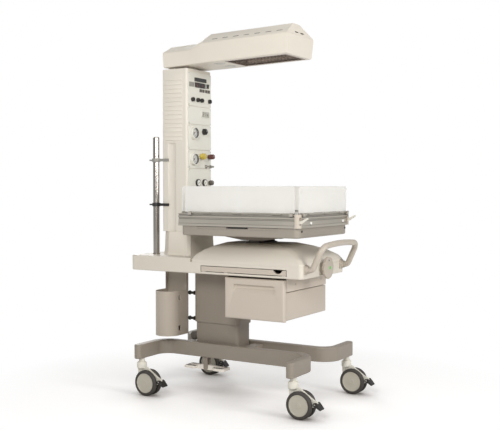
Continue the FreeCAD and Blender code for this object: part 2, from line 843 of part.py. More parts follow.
def make_upper_column():
    """Upper column: shell with louvres and a hollow channel on both sides, and the head's hub."""
    w = upper_wall
    outer = slab(-half_upper, half_upper, upper_front_y, upper_rear_y, upper_bottom_z, upper_top_z,
                 upper_corner)
    inner = slab(-half_upper + w, half_upper - w, upper_front_y + w, upper_rear_y - w,
                 upper_bottom_z + w, upper_top_z - w, upper_corner - w)
    centre = half_upper + channel_r - channel_depth
    channel_start = upper_bottom_z - 1
    for side in (-1, 1):
        groove = rod("z", (side * centre, channel_y), channel_r, channel_start, channel_top_z)
        lining = rod("z", (side * centre, channel_y), channel_r + w, channel_start, channel_top_z + w)
        outer = outer.cut(groove)
        inner = inner.cut(lining)
    body = outer.cut(inner)
    vents = []
    for side in (-1, 1):
        for i in range(louvre_count):
            z = louvre_bottom_z + i * louvre_pitch
            x = side * half_upper
            fin = [(x, z), (x + side * louvre_out, z + 2), (x, z + louvre_h)]
            vents.append(prism(fin, "y", louvre_y[0], louvre_y[1]))
    hub = rod("z", (0, upper_mid_y), hub_r_head, upper_top_z, upper_top_z + hub_height)
    spindle_top = head_bottom_z + 34
    spindle = tube("z", (0, upper_mid_y), spindle_r_head, spindle_r_head - 4, upper_top_z, spindle_top)
    body = joined([body] + vents)
    return group([body, joined([hub, spindle])])


def handle_point(x, rise):
    """A point of the hoop, which leans back from its knees by the handle's tilt."""
    lean = math.radians(handle_tilt)
    out = handle_reach + rise * math.cos(lean)
    return V(x, shelf_front_y - out, handle_z + rise * math.sin(lean))


def make_handle():
    """Push handle: a tube hoop with two sockets on the shelf's front."""
    points = [
        V(-handle_x, shelf_front_y, handle_z),
        handle_point(-handle_x, 0),
        handle_point(-handle_x, handle_rise),
        handle_point(0, handle_rise + handle_arch),
        handle_point(handle_x, handle_rise),
        handle_point(handle_x, 0),
        V(handle_x, shelf_front_y, handle_z),
    ]
    path = tube_path(points, [handle_knee_r, handle_bend_r, handle_arch_r, handle_bend_r, handle_knee_r])
    circle = Part.Wire(Part.makeCircle(handle_r, points[0], V(0, -1, 0)))
    hoop = path.makePipeShell([circle], True, True)
    sockets = []
    socket_end = shelf_front_y - socket_length
    for x in (-handle_x, handle_x):
        sockets.append(tube("y", (x, handle_z), socket_r, handle_r, socket_end, shelf_front_y))
    return group([hoop] + sockets)


def make_runners():
    """Two hanger plates under the shelf with a lip that carries the drawer's rails."""
    plates = []
    x0 = drawer_x + drawer_face_t + 6
    x1 = drawer_x + drawer_depth - 2
    lip = drawer_step - 2
    for y, inward in ((drawer_front_y + 1.5, 1), (drawer_rear_y - 1.5, -1)):
        web = y + inward * runner_t
        edge = y + inward * lip
        channel = [
            (y, runner_bottom_z), (edge, runner_bottom_z),
            (edge, runner_bottom_z + runner_t), (web, runner_bottom_z + runner_t),
            (web, shelf_bottom_z - runner_t), (edge, shelf_bottom_z - runner_t),
            (edge, shelf_bottom_z), (y, shelf_bottom_z),
        ]
        plates.append(prism(channel, "x", x0, x1))
    return group(plates)


def make_drawer():
    """Drawer: a stepped open box with rails, and a moulded face with a sloping finger recess."""
    back_x = drawer_x + drawer_depth
    box_x = drawer_x + drawer_face_t
    y0 = drawer_front_y + 4.5
    y1 = drawer_rear_y - 4.5
    z0 = drawer_bottom_z + 3
    rail_z = runner_bottom_z + runner_t + runner_gap
    top = drawer_top_z - 12
    s = drawer_step
    w = drawer_wall
    outer = prism([(y0, z0, 6), (y1, z0, 6), (y1, drawer_step_z), (y1 - s, drawer_step_z), (y1 - s, top),
                   (y0 + s, top), (y0 + s, drawer_step_z), (y0, drawer_step_z)], "x", box_x, back_x)
    inner = prism([(y0 + w, z0 + w, 3), (y1 - w, z0 + w, 3), (y1 - w, drawer_step_z - w),
                   (y1 - s - w, drawer_step_z - w), (y1 - s - w, top + 1), (y0 + s + w, top + 1),
                   (y0 + s + w, drawer_step_z - w), (y0 + w, drawer_step_z - w)], "x", box_x, back_x - w)
    rails = [slab(box_x, back_x, y0 + s - 9, y0 + s + 1, rail_z, rail_z + 8),
             slab(box_x, back_x, y1 - s - 1, y1 - s + 9, rail_z, rail_z + 8)]
    box = joined([outer.cut(inner)] + rails)
    face = slab(drawer_x, box_x, drawer_front_y, drawer_rear_y, drawer_bottom_z, drawer_top_z)
    face = rounded_edges(face, 9, lambda e: abs(e.BoundBox.XMax - drawer_x) < 1e-4)
    middle = (drawer_front_y + drawer_rear_y) / 2
    top_z = drawer_top_z - drawer_grip_drop[0]
    wires = []
    for x, low_half, top_half, low_z in (
            (drawer_x - 0.01, drawer_grip_half[0], drawer_grip_half[1], drawer_top_z - drawer_grip_drop[1]),
            (drawer_x + drawer_grip_depth, drawer_grip_half[2], drawer_grip_half[3],
             drawer_top_z - drawer_grip_drop[2])):
        corners = [(middle - low_half, low_z, 8), (middle + low_half, low_z, 8),
                   (middle + top_half, top_z, 8), (middle - top_half, top_z, 8)]
        wires.append(outline(corners, "x", x))
    face = face.cut(Part.makeLoft(wires, True, True))
    return joined([box, face])


def make_side_tray():
    """Pull-out writing tray, notched round the column, with a finger cut in its front lip."""
    x0 = -half_shelf
    x1 = x0 + side_tray_depth
    notch_x = x0 + side_tray_notch
    z0 = side_tray_z
    z1 = side_tray_z + side_tray_t
    plan = [
        (x0, side_tray_front_y),
        (x1, side_tray_front_y, 6),
        (x1, side_tray_notch_y, 6),
        (notch_x, side_tray_notch_y),
        (notch_x, side_tray_rear_y, 6),
        (x0, side_tray_rear_y),
    ]
    tray = prism(plan, "z", z0, z1)
    rim = side_tray_rim
    lip = x0 + side_tray_lip
    inner_plan = [
        (lip, side_tray_front_y + rim),
        (x1 - rim, side_tray_front_y + rim, 3),
        (x1 - rim, side_tray_notch_y - rim, 3),
        (notch_x - rim, side_tray_notch_y - rim),
        (notch_x - rim, side_tray_rear_y - rim, 3),
        (lip, side_tray_rear_y - rim),
    ]
    tray = tray.cut(prism(inner_plan, "z", z0 + side_tray_floor, z1 + 1))
    finger_y = side_tray_front_y + 45
    finger = rod("x", (finger_y, z1 + 8), 26, x0 - 1, x0 + 11)
    return tray.cut(finger)


def holder_plan(inset):
    """Plan of the trough: straight back half and half-round front half."""
    mid_y = holder_front_y + holder_r
    r = holder_r - inset
    back_front = V(holder_back_x - inset, mid_y - r, 0)
    back_rear = V(holder_back_x - inset, mid_y + r, 0)
    arc_rear = V(holder_round_x, mid_y + r, 0)
    arc_front = V(holder_round_x, mid_y - r, 0)
    arc = Part.Arc(arc_rear, V(holder_round_x - r, mid_y, 0), arc_front).toShape()
    sides = []
    for start, end in ((back_front, back_rear), (back_rear, arc_rear), (arc_front, back_front)):
        sides.append(Part.LineSegment(start, end).toShape())
    return Part.Wire([sides[0], sides[1], arc, sides[2]])


def make_holder():
    """Cylinder holder: a sheet trough, low and closed at the outside and tall at the back."""
    height = holder_top_z - holder_bottom_z
    outer = Part.Face(holder_plan(0.0)).extrude(V(0, 0, height))
    inner = Part.Face(holder_plan(holder_wall)).extrude(V(0, 0, height))
    outer.translate(V(0, 0, holder_bottom_z))
    inner.translate(V(0, 0, holder_bottom_z + holder_wall))
    body = outer.cut(inner)
    rear_y = holder_front_y + 2 * holder_r
    low_front = slab(holder_round_x - holder_r - 5, holder_tall_x, holder_front_y - 5, rear_y + 5,
                     holder_cup_z, holder_top_z + 5)
    body = body.cut(low_front)
    slot_x = holder_round_x + 5 - holder_slot_w / 2
    slot_end = holder_front_y + holder_wall + 1
    for z in (holder_bottom_z + 25, holder_cup_z - 48):
        slot = slab(slot_x, slot_x + holder_slot_w, holder_front_y - 1, slot_end, z, z + holder_slot_h)
        body = body.cut(slot)
    hanger = slab(holder_back_x - holder_wall, holder_back_x, holder_front_y + 20, rear_y - 20,
                  holder_top_z - 12, shelf_bottom_z)
    return joined([body, hanger])


def make_brackets():
    """Rods with collars that stay the cylinder holder, and the two clamps of the pole."""
    solids = []
    cover_rear = column_y + cover_y / 2
    for z in (holder_bottom_z + 82, holder_cup_z - 16):
        line = (holder_rod_x, z)
        bar = rod("y", line, holder_rod_r, cover_rear, holder_front_y)
        collars = [rod("y", line, holder_collar_r, start, start + 6)
                   for start in (cover_rear, holder_front_y - 12)]
        solids.append(joined([bar] + collars))
    for z in bracket_z:
        low = z - 7
        top = z + 7
        ring = tube("z", (pole_x, pole_y), pole_r + 5, pole_r, z - 9, z + 9)
        arm = slab(pole_x - 4, pole_x + 4, upper_rear_y - 12, pole_y - pole_r - 1, low, top)
        arm = arm.cut(slab(-half_upper, 0, upper_front_y, upper_rear_y, z - 20, z + 20))
        pad = slab(pole_x - 4, -half_upper, upper_rear_y - 44, upper_rear_y - 12, low, top)
        knob = rod("y", (pole_x, z), 4, pole_y + pole_r + 2, pole_y + pole_r + 26)
        solids.append(joined([ring, arm, pad, knob]))
    return group(solids)


def make_pole():
    """Accessory pole: a steel pipe on a foot disc, with a closed cap."""
    foot_top = shelf_top_z + 5
    cap_low = pole_top_z - 4
    pipe = tube("z", (pole_x, pole_y), pole_r, pole_r - pole_wall, foot_top, cap_low)
    cap_section = [(cap_low, 0), (cap_low, pole_r), (pole_top_z, pole_r - 4), (pole_top_z, 0)]
    cap = turned(cap_section, "z", V(pole_x, pole_y, 0))
    foot = rod("z", (pole_x, pole_y), pole_r + 3, shelf_top_z, foot_top)
    return joined([pipe, cap, foot])


def connector(x, z, radius, core, reach, step):
    """Round fitting on the panels; its core stands out by the step, or lies below the rim."""
    rim = panel_front - reach
    half_section = [
        (panel_front, 0), (panel_front, radius), (rim + 1, radius), (rim, radius - 1),
        (rim, core), (rim - step, core), (rim - step, 0),
    ]
    return turned(half_section, "y", V(x, 0, z))


def make_control_panels():
    """Five module plates on the column's front, with displays, keys, sockets and hose nipples."""
    half = panel_x / 2
    hole = prism(rectangle(switch_x - switch_w / 2 - 1, switch_x + switch_w / 2 + 1,
                           switch_z - switch_h / 2 - 1, switch_z + switch_h / 2 + 1, 1.5),
                 "y", panel_front - 1, upper_front_y)
    solids = []
    for low, high in zip(panel_seams[:-1], panel_seams[1:]):
        face = rectangle(-half, half, low + panel_gap / 2, high - panel_gap / 2, panel_corner)
        solids.append(prism(face, "y", panel_front, upper_front_y).cut(hole))
    for x0, x1, z0, z1 in displays:
        solids.append(prism(rectangle(x0, x1, z0, z1, 3), "y", panel_front - display_t, panel_front))
    for (z, start, pitch), count in zip(key_rows, key_row_count):
        for i in range(count):
            x = start + i * pitch
            key = rectangle(x - key_half_w, x + key_half_w, z - key_half_h, z + key_half_h, 3)
            solids.append(prism(key, "y", panel_front - key_t, panel_front))
    for fitting in fittings:
        solids.append(connector(*fitting))
    return group(solids)


def make_gauge_cases():
    """Round gauge bodies with a raised rim and a pin for the needle."""
    rim = panel_front - gauge_depth
    half_section = [
        (panel_front, 0), (panel_front, gauge_r), (rim + 2, gauge_r), (rim, gauge_r - 2),
        (rim, lens_r - 1.5), (rim + lens_seat, lens_r - 1.5), (rim + lens_seat, lens_r),
        (dial_y, lens_r), (dial_y, 0),
    ]
    solids = []
    for z in gauge_z:
        cup = turned(half_section, "y", V(gauge_x, 0, z))
        pin = rod("y", (gauge_x, z), needle_pin_r, panel_front - 10, dial_y + 0.1)
        solids.append(joined([cup, pin]))
    return group(solids)


def make_gauge_lenses():
    """Clear discs inside the gauge rims."""
    front = panel_front - gauge_depth + lens_seat
    return group([rod("y", (gauge_x, z), lens_r, front, front + lens_t) for z in gauge_z])


def make_gauge_needle(z):
    """Needle: a boss on the pin and a tapered pointer, resting at the low end of the scale."""
    boss = tube("y", (gauge_x, z), 4, needle_pin_r + running_gap, panel_front - 8.5, dial_y - 1)
    shape = [(gauge_x - 1.4, z - 6), (gauge_x + 1.4, z - 6), (gauge_x + 0.5, z + 22), (gauge_x - 0.5, z + 22)]
    pointer = prism(shape, "y", panel_front - 7.6, panel_front - 6.4)
    pointer = pointer.cut(rod("y", (gauge_x, z), 3, panel_front - 12, panel_front))
    needle = joined([boss, pointer])
    needle.rotate(V(gauge_x, 0, z), V(0, 1, 0), -needle_rest)
    return needle


def make_knob(x, z, radius, reach):
    """Turning knob: a fluted grip with a flange, on a shaft in the panel."""
    back = panel_front - knob_gap
    face = panel_front - reach
    flange = panel_front - reach * 0.4
    half_section = [
        (back, 0), (back, radius * 0.8), (panel_front - reach * 0.35, radius * 0.8),
        (flange, radius), (face + 2, radius * 0.92), (face, radius * 0.8), (face, 0),
    ]
    grip = turned(half_section, "y", V(x, 0, z))
    ring = radius * 1.12
    for i in range(knob_flutes):
        angle = math.radians(360 * i / knob_flutes)
        centre = (x + ring * math.cos(angle), z + ring * math.sin(angle))
        grip = grip.cut(rod("y", centre, radius * 0.22, face - 1, flange))
    return grip


def make_power_switch():
    """Rocker switch that tips on its middle."""
    half = switch_h / 2
    side_view = [
        (panel_front + 1.5, switch_z - half + 0.4),
        (panel_front - 1, switch_z - half),
        (panel_front - 2.2, switch_z),
        (panel_front - 4.2, switch_z + half),
        (panel_front + 1.5, switch_z + half - 0.4),
    ]
    rocker = prism(side_view, "x", switch_x - switch_w / 2, switch_x + switch_w / 2)
    pin_half = switch_w / 2 + 0.9
    pin = rod("x", (panel_front + 1, switch_z), 1.5, switch_x - pin_half, switch_x + pin_half)
    return joined([rocker, pin])


def section(part, inset):
    """Cross-section of the head or its arm: upright sides, sloping shoulders and a flat ridge."""
    if part == "head":
        bottom, crease, ridge = head_half_bottom, head_half_crease, head_half_ridge
        crease_z, ridge_z = head_crease_z, head_ridge_z
    else:
        bottom, crease, ridge = arm_half_bottom, arm_half_crease, arm_half_ridge
        crease_z, ridge_z = arm_crease_z, arm_ridge_z
    bottom, crease, ridge = bottom - inset, crease - inset, ridge - inset * 0.3
    low = head_bottom_z + inset
    r = max(2.0, 8 - inset)
    crease_z -= inset * 0.4
    ridge_z -= inset
    return [(-bottom, low, r), (bottom, low, r), (crease, crease_z, r + 6),
            (ridge, ridge_z, r + 8), (-ridge, ridge_z, r + 8), (-crease, crease_z, r + 6)]


def head_body(inset):
    """Whole outer form of the head, drawn in by an even inset."""
    head = prism(section("head", inset), "y", head_front_y + inset, ramp_front_y)
    ramp = Part.makeLoft([outline(section("head", inset), "y", ramp_front_y),
                          outline(section("arm", inset), "y", ramp_rear_y)], True, True)
    arm = prism(section("arm", inset), "y", ramp_rear_y, head_rear_y - inset)
    body = joined([head, ramp, arm])
    # The nose leans back above the crease and a little below it.
    nose = head_front_y + inset
    ahead = nose - cut_margin
    side = head_half_crease + cut_margin
    high = head_ridge_z + cut_margin
    low = head_bottom_z - cut_margin
    top = nose + nose_lean_top
    top_cut = prism([(ahead, head_crease_z), (nose, head_crease_z), (top, head_ridge_z + 1), (top, high),
                     (ahead, high)], "x", -side, side)
    bottom = nose + nose_lean_bottom
    low_cut = prism([(ahead, head_crease_z), (nose, head_crease_z), (bottom, head_bottom_z - 1),
                     (bottom, low), (ahead, low)], "x", -side, side)
    return body.cut(top_cut).cut(low_cut)


def lower_region():
    """Space below the seam between the head's lower housing and its top cover."""
    step = (ramp_front_y + ramp_rear_y) / 2
    ahead = head_front_y - cut_margin
    behind = head_rear_y + cut_margin
    low = head_bottom_z - cut_margin
    side = head_half_crease + cut_margin
    return prism([(ahead, low), (behind, low), (behind, arm_crease_z), (step, arm_crease_z),
                  (ramp_front_y - 6, head_crease_z), (ahead, head_crease_z)], "x", -side, side)


def head_shell():
    """Thin-walled head before it is split."""
    return head_body(0.0).cut(head_body(head_wall))


def leaned(shape):
    """The head climbs a little towards its nose, about the swivel."""
    shape.rotate(V(0, upper_mid_y, head_bottom_z), V(1, 0, 0), -head_slope)
    return shape


def make_hood_lower(shell):
    """Lower housing of the head: sides, floor with heater and lamp openings, and swivel seat."""
    body = shell.common(lower_region())
    half = heater_x / 2
    low = head_bottom_z - 1
    top = head_bottom_z + 5
    body = body.cut(slab(-half, half, heater_front_y, heater_rear_y, low, top, 10))
    for x in (-lamp_x, lamp_x):
        body = body.cut(rod("z", (x, lamp_y), lamp_r, low, top))
    body = leaned(body)
    seat_low = upper_top_z + hub_height + swivel_gap
    seat = rod("z", (0, upper_mid_y), hub_r_head, seat_low, head_bottom_z + 14)
    body = joined([body, seat])
    bore_r = spindle_r_head + running_gap
    return body.cut(rod("z", (0, upper_mid_y), bore_r, seat_low - 5, head_bottom_z + 60))


def make_hood_top(shell):
    """Top cover of the head with its row of vent slots."""
    body = shell.cut(lower_region())
    slots = []
    for side in (-1, 1):
        outer = head_half_crease - vent_inset
        x0, x1 = sorted((side * (outer - vent_width), side * outer))
        for i in range(vent_count):
            y = head_front_y + vent_start + i * vent_pitch
            slots.append(slab(x0, x1, y, y + vent_length, head_crease_z - 5, head_ridge_z, 3.5))
    y0 = head_front_y + 3
    z0 = head_crease_z + 12
    for x in (-nose_vent_x - nose_vent_length, nose_vent_x):
        slots.append(slab(x, x + nose_vent_length, y0, y0 + 11, z0, z0 + 6))
    for slot in slots:
        body = body.cut(slot)
    return leaned(body)


def make_grille():
    """Heater grille: a frame that hangs in the floor opening, with a pattern of bars."""
    half = heater_x / 2
    low = head_bottom_z
    top = low + head_wall
    front = heater_front_y
    rear = heater_rear_y
    ring = slab(-half + 0.5, half - 0.5, front + 0.5, rear - 0.5, low, top, 9)
    flange = slab(-half - grille_flange, half + grille_flange, front - grille_flange, rear + grille_flange,
                  top, top + 2, 12)
    frame = grille_frame
    window = slab(-half + frame, half - frame, front + frame, rear - frame, low - 1, low + 9, 4)
    bars = []
    pitch = (rear - front - 2 * frame) / grille_bars
    reach = half - frame + 2
    for i in range(1, grille_bars):
        y = front + frame + i * pitch
        bars.append(slab(-reach, reach, y - grille_wire, y + grille_wire, low + 1, low + 4))
    for x in (-half / 3, half / 3):
        y0 = front + frame - 2
        y1 = rear - frame + 2
        bars.append(slab(x - grille_wire, x + grille_wire, y0, y1, low + 1, low + 4))
    return leaned(joined([ring.cut(window), flange.cut(window)] + bars))


def make_element():
    """Radiant heater: a folded reflector with two tube heaters on end blocks."""
    low = head_bottom_z + head_wall + 2
    half = heater_x / 2 - 2
    top = low + 48
    profile = [
        (-half, low), (-half + 2, low), (-half + 26, top - 2), (half - 26, top - 2),
        (half - 2, low), (half, low), (half - 24, top), (-half + 24, top),
    ]
    y0 = heater_front_y + 6
    y1 = heater_rear_y - 6
    reflector = prism(profile, "y", y0, y1)
    solids = [reflector]
    for x in (-element_x, element_x):
        heater = rod("y", (x, low + 24), element_r, y0 + 14, y1 - 14)
        blocks = [slab(x - 9, x + 9, y, y + 14, low + 14, top - 2) for y in (y0 + 6, y1 - 20)]
        solids.append(joined([heater] + blocks))
    return leaned(group(solids))


def make_lenses():
    """Two round lamp lenses in the floor of the head."""
    low = head_bottom_z
    body_r = lamp_r - 0.3
    half_section = [
        (low - 1, 0), (low - 1, lamp_r - 6), (low + 1, body_r), (low + 3, body_r),
        (low + 3, lamp_r + 4), (low + 6, lamp_r + 4), (low + 6, 0),
    ]
    return leaned(group([turned(half_section, "z", V(x, lamp_y, 0)) for x in (-lamp_x, lamp_x)]))


def make_tilt_base():
    """Foot plate on the dome with two pivot lugs."""
    plate_top = dome_top_z + tilt_plate_t
    half = tilt_lug_x + 20
    plate = slab(-half, half, tilt_y - 42, tilt_y + 42, dome_top_z, plate_top, 8)
    r = tilt_lug_r
    side_view = [(tilt_y - 34, plate_top), (tilt_y + 34, plate_top),
                 (tilt_y + r, tilt_z + r, r - 1), (tilt_y - r, tilt_z + r, r - 1)]
    lugs = []
    for side in (-1, 1):
        x0, x1 = sorted((side * tilt_lug_x, side * (tilt_lug_x + tilt_lug_t)))
        lugs.append(prism(side_view, "x", x0, x1))
    base = joined([plate] + lugs)
    return base.cut(rod("x", (tilt_y, tilt_z), tilt_pin_r + running_gap, -cradle_x, cradle_x))


def make_cradle():
    """Boat-shaped cradle under the pan, with side walls on the pivot pin."""
    top = pan_bottom_z
    low = tilt_z - tilt_pin_r
    front = tilt_y - cradle_half
    rear = tilt_y + cradle_half
    side_view = [(front, top), (front, top - 9, 4), (tilt_y - 60, low, 20),
                 (tilt_y + 60, low, 20), (rear, top - 9, 4), (rear, top)]
    boat = prism(side_view, "x", -cradle_x, cradle_x)
    wall = cradle_wall
    hollow = slab(-cradle_x + wall, cradle_x - wall, front + wall, rear - wall, low - 20, top - cradle_roof)
    body = boat.cut(hollow)
    pin = rod("x", (tilt_y, tilt_z), tilt_pin_r, -cradle_x, cradle_x)
    return joined([body, pin])


def make_pan():
    """Bassinet pan: a shallow tub with a side mouth for the x-ray tray and ribs that carry it."""
    half = rail_x - 9
    front = rail_front_y + 9
    rear = rail_rear_y - 9
    outer = slab(-half, half, front, rear, pan_bottom_z, pan_top_z, pan_corner)
    outer = rounded_edges(outer, pan_edge_r, level(pan_bottom_z))
    inner_half = half - pan_wall
    floor = pan_bottom_z + pan_wall
    inner = slab(-inner_half, inner_half, front + pan_wall, rear - pan_wall, floor, pan_top_z,
                 pan_corner - pan_wall)
    body = outer.cut(inner)
    mouth = slab(-half - 1, -inner_half + 1, xray_y[0] - 0.5, xray_y[1] + 0.5, xray_z - 0.5, pan_top_z + 1)
    body = body.cut(mouth)
    ribs = []
    for y in (xray_y[0] + 10, (xray_y[0] + xray_y[1]) / 2 - 5, xray_y[1] - 20):
        ribs.append(slab(-inner_half, inner_half, y, y + 10, floor, xray_z - slide_gap))
    return joined([body] + ribs)


def make_xray_tray():
    """X-ray cassette tray: a shallow pull-out pan with a finger grip in its front lip."""
    half = rail_x - 9
    z1 = xray_z + xray_t
    y0, y1 = xray_y
    tray = slab(-half, -half + xray_depth, y0, y1, xray_z, z1)
    tray = tray.cut(slab(-half + 14, -half + xray_depth - 3, y0 + 3, y1 - 3, xray_z + 3, z1 + 1))
    middle = (rail_front_y + rail_rear_y) / 2
    grip = slab(-half - 1, -half + 9, middle - xray_grip_half, middle + xray_grip_half, xray_z + 4, z1 + 1, 2)
    return tray.cut(grip)


def rail_section(outer, inner):
    """Section of a rail between its outer and inner face: two grooves outside, a ledge inside."""
    side = 1 if outer > inner else -1
    height = rail_top_z - pan_top_z
    corners = [(outer - side * depth, pan_top_z + share * height) for share, depth in rail_profile]
    shelf = inner - side * ledge
    return corners + [(inner, rail_top_z), (inner, deck_z), (shelf, deck_z), (shelf, pan_top_z)]


def make_rails():
    """Four grooved aluminium rails with the fixed knuckles and pins of the panel hinges."""
    inner_x = rail_x - rail_t
    start = rail_front_y + post_square
    sides = []
    for side in (-1, 1):
        sides.append(prism(rail_section(side * rail_x, side * inner_x), "y", start, rail_rear_y))
    front_half = rail_x - post_square
    front = prism(rail_section(rail_front_y, rail_front_y + rail_t), "x", -front_half, front_half)
    inner_y = rail_rear_y - rail_t
    rear_section = [
        (rail_rear_y, pan_top_z), (rail_rear_y, rail_top_z), (inner_y, rail_top_z),
        (inner_y, deck_z), (inner_y - ledge, deck_z), (inner_y - ledge, pan_top_z),
    ]
    rear = prism(rear_section, "x", -inner_x, inner_x)
    hinges = []
    axis_x = rail_x + hinge_out
    for side in (-1, 1):
        for y in (start + 6, rail_rear_y - 84):
            hinges.append(fixed_knuckle("y", side, axis_x, y, y + 20))
        hinges.append(rod("y", (side * axis_x, hinge_z), hinge_pin_r, start + 6, rail_rear_y - 64))
    axis_y = rail_front_y - hinge_out
    for x in (-front_half + 6, front_half - 26):
        hinges.append(fixed_knuckle("x", -1, -axis_y, x, x + 20))
    hinges.append(rod("x", (axis_y, hinge_z), hinge_pin_r, -front_half + 6, front_half - 6))
    left = joined([sides[0]] + [h for h in hinges if h.BoundBox.XMax < -inner_x])
    right = joined([sides[1]] + [h for h in hinges if h.BoundBox.XMin > inner_x])
    bow = joined([front] + [h for h in hinges if h.BoundBox.YMax < rail_front_y + 5])
    return group([left, right, bow, rear])


def fixed_knuckle(axis, side, reach, start, end):
    """Hinge knuckle on a rail's top outer edge, with its foot on the rail."""
    knuckle = rod(axis, (side * reach, hinge_z), knuckle_r, start, end)
    foot_low = rail_top_z - 6
    if axis == "y":
        x0, x1 = sorted((side * rail_x, side * (reach + knuckle_r - 1)))
        foot = slab(x0, x1, start, end, foot_low, hinge_z)
    else:
        y0, y1 = sorted((side * (reach + knuckle_r - 1), rail_front_y))
        foot = slab(start, end, y0, y1, foot_low, hinge_z)
    return joined([knuckle, foot])


def make_corner_posts():
    """Two plastic front corners that join the rails."""
    posts = []
    inner_x = rail_x - post_square
    front = rail_front_y - 3
    y1 = rail_front_y + post_square
    top = rail_top_z + 3
    for side in (-1, 1):
        outer = side * (rail_x + 2)
        plan = [(outer, front, post_round), (outer, y1), (side * inner_x, y1), (side * inner_x, front)]
        post = prism(plan, "z", pan_top_z, top)
        x0, x1 = sorted((side * (rail_x - rail_t), side * (inner_x - 1)))
        post = post.cut(slab(x0, x1, rail_front_y + rail_t, y1 + 1, pan_top_z - 1, top + 1))
        post = rounded_edges(post, 2, level(top))
        middle = side * lever_x
        notch_half = lever_half + lever_gap
        notch = slab(middle - notch_half, middle + notch_half, rail_front_y - 20, lever_y + 9,
                     lever_z - 12, lever_z + 22)
        pin = rod("x", (lever_y, lever_z), lever_pin_r, middle - notch_half - 1, middle + notch_half + 1)
        posts.append(joined([post.cut(notch), pin]))
    return group(posts)


def make_lever(side):
    """Release lever on a front corner: a flat tab that rises towards the operator."""
    tip_y = rail_front_y - lever_reach
    side_view = [
        (lever_y + 7, lever_z - 6, 5),
        (lever_y + 7, lever_z + 6, 5),
        (lever_y - 14, lever_z + 8, 8),
        (tip_y, lever_z + 24, 3),
        (tip_y, lever_z + 15, 3),
        (lever_y - 12, lever_z - 7, 8),
    ]
    middle = side * lever_x
    tab = prism(side_view, "x", middle - lever_half, middle + lever_half)
    return tab.cut(rod("x", (lever_y, lever_z), lever_pin_r + running_gap, middle - 9, middle + 9))


def make_deck():
    """Flat deck that carries the mattress on the rails' ledges."""
    half = rail_x - rail_t - 0.5
    front = rail_front_y + rail_t + 0.5
    rear = rail_rear_y - rail_t - 0.5
    return slab(-half, half, front, rear, deck_z, deck_z + deck_t)


def make_mattress():
    """Mattress as one closed soft block."""
    half = rail_x - rail_t - mattress_gap
    front = rail_front_y + rail_t + mattress_gap
    rear = rail_rear_y - rail_t - mattress_gap
    z0 = deck_z + deck_t
    pad = slab(-half, half, front, rear, z0, z0 + mattress_t, 28)
    pad = rounded_edges(pad, 12, level(z0 + mattress_t))
    return rounded_edges(pad, 6, level(z0))


def swinging_knuckles(axis, side, reach, spans):
    """Knuckles of a panel, bored for the hinge pin."""
    solids = []
    for start, end in spans:
        solids.append(tube(axis, (side * reach, hinge_z), knuckle_r, hinge_pin_r + running_gap, start, end))
    return solids


def make_side_panel(side):
    """Drop-down side panel: clear plate, foot strip and three hinge knuckles."""
    start, end = side_glass_y
    plane = rail_x - glass_inset
    x0, x1 = sorted((side * plane, side * (plane - glass_t)))
    foot_z = rail_top_z + 3
    face = [(start, foot_z), (end, foot_z), (end, glass_top_z, 12), (start, glass_top_z, 12)]
    plate = prism(face, "x", x0, x1)
    reach = rail_x + hinge_out
    middle = (start + end) / 2
    spans = [(start + 60, start + 110), (middle - 25, middle + 25), (end - 160, end - 110)]
    knuckles = swinging_knuckles("y", side, reach, spans)
    ties = []
    for low, high in spans:
        t0, t1 = sorted((side * (plane - 1), side * (reach - hinge_pin_r - 1.2)))
        ties.append(slab(t0, t1, low, high, foot_z, foot_z + 6))
    return joined([plate] + knuckles + ties)


def make_front_panel():
    """Drop-down front panel with two corner catches at its top."""
    half = front_glass_half
    plane = rail_front_y + glass_inset
    foot_z = rail_top_z + 4
    face = [(-half, foot_z), (half, foot_z), (half, glass_top_z, 12), (-half, glass_top_z, 12)]
    plate = prism(face, "y", plane, plane + glass_t)
    reach = -(rail_front_y - hinge_out)
    inner = rail_x - post_square
    spans = [(-inner + 60, -inner + 110), (-25.0, 25.0), (inner - 110, inner - 60)]
    knuckles = swinging_knuckles("x", -1, reach, spans)
    ties = []
    for low, high in spans:
        ties.append(slab(low, high, -(reach - hinge_pin_r - 1.2), plane + 1, foot_z, foot_z + 6))
    catches = []
    for side in (-1, 1):
        x0, x1 = sorted((side * (half - 22), side * (half - 2)))
        catches.append(slab(x0, x1, plane - 4, plane, glass_top_z - 26, glass_top_z - 10))
    return joined([plate] + knuckles + ties + catches)


def make_rear_panel():
    """Fixed rear panel on the rear rail."""
    half = rail_x - rail_t - 2
    plane = rail_rear_y - 6
    face = [(-half, rail_top_z), (half, rail_top_z), (half, glass_top_z, 12), (-half, glass_top_z, 12)]
    return prism(face, "y", plane - glass_t, plane)


def make_tilt_knob():
    """Tilt knob: a broad disc with finger scallops, on its shaft in the shelf's front."""
    back = shelf_front_y - tilt_knob_off
    face = back - tilt_knob_t
    half_section = [
        (face, 0), (face, tilt_knob_r - 8), (face + 3, tilt_knob_r),
        (back - 3, tilt_knob_r), (back, tilt_knob_r - 4), (back, 0),
    ]
    disc = turned(half_section, "y", V(0, 0, tilt_knob_z))
    reach = tilt_knob_r + 6
    for i in range(tilt_knob_scallops):
        angle = math.radians(360 * (i + 0.5) / tilt_knob_scallops)
        centre = (reach * math.cos(angle), tilt_knob_z + reach * math.sin(angle))
        disc = disc.cut(rod("y", centre, tilt_scallop_r, face - 1, back + 1))
    boss = rod("y", (0, tilt_knob_z), 22, back, shelf_front_y - slide_gap)
    shaft = rod("y", (0, tilt_knob_z), tilt_shaft_r, back, shelf_front_y + 60)
    return joined([disc, boss, shaft])


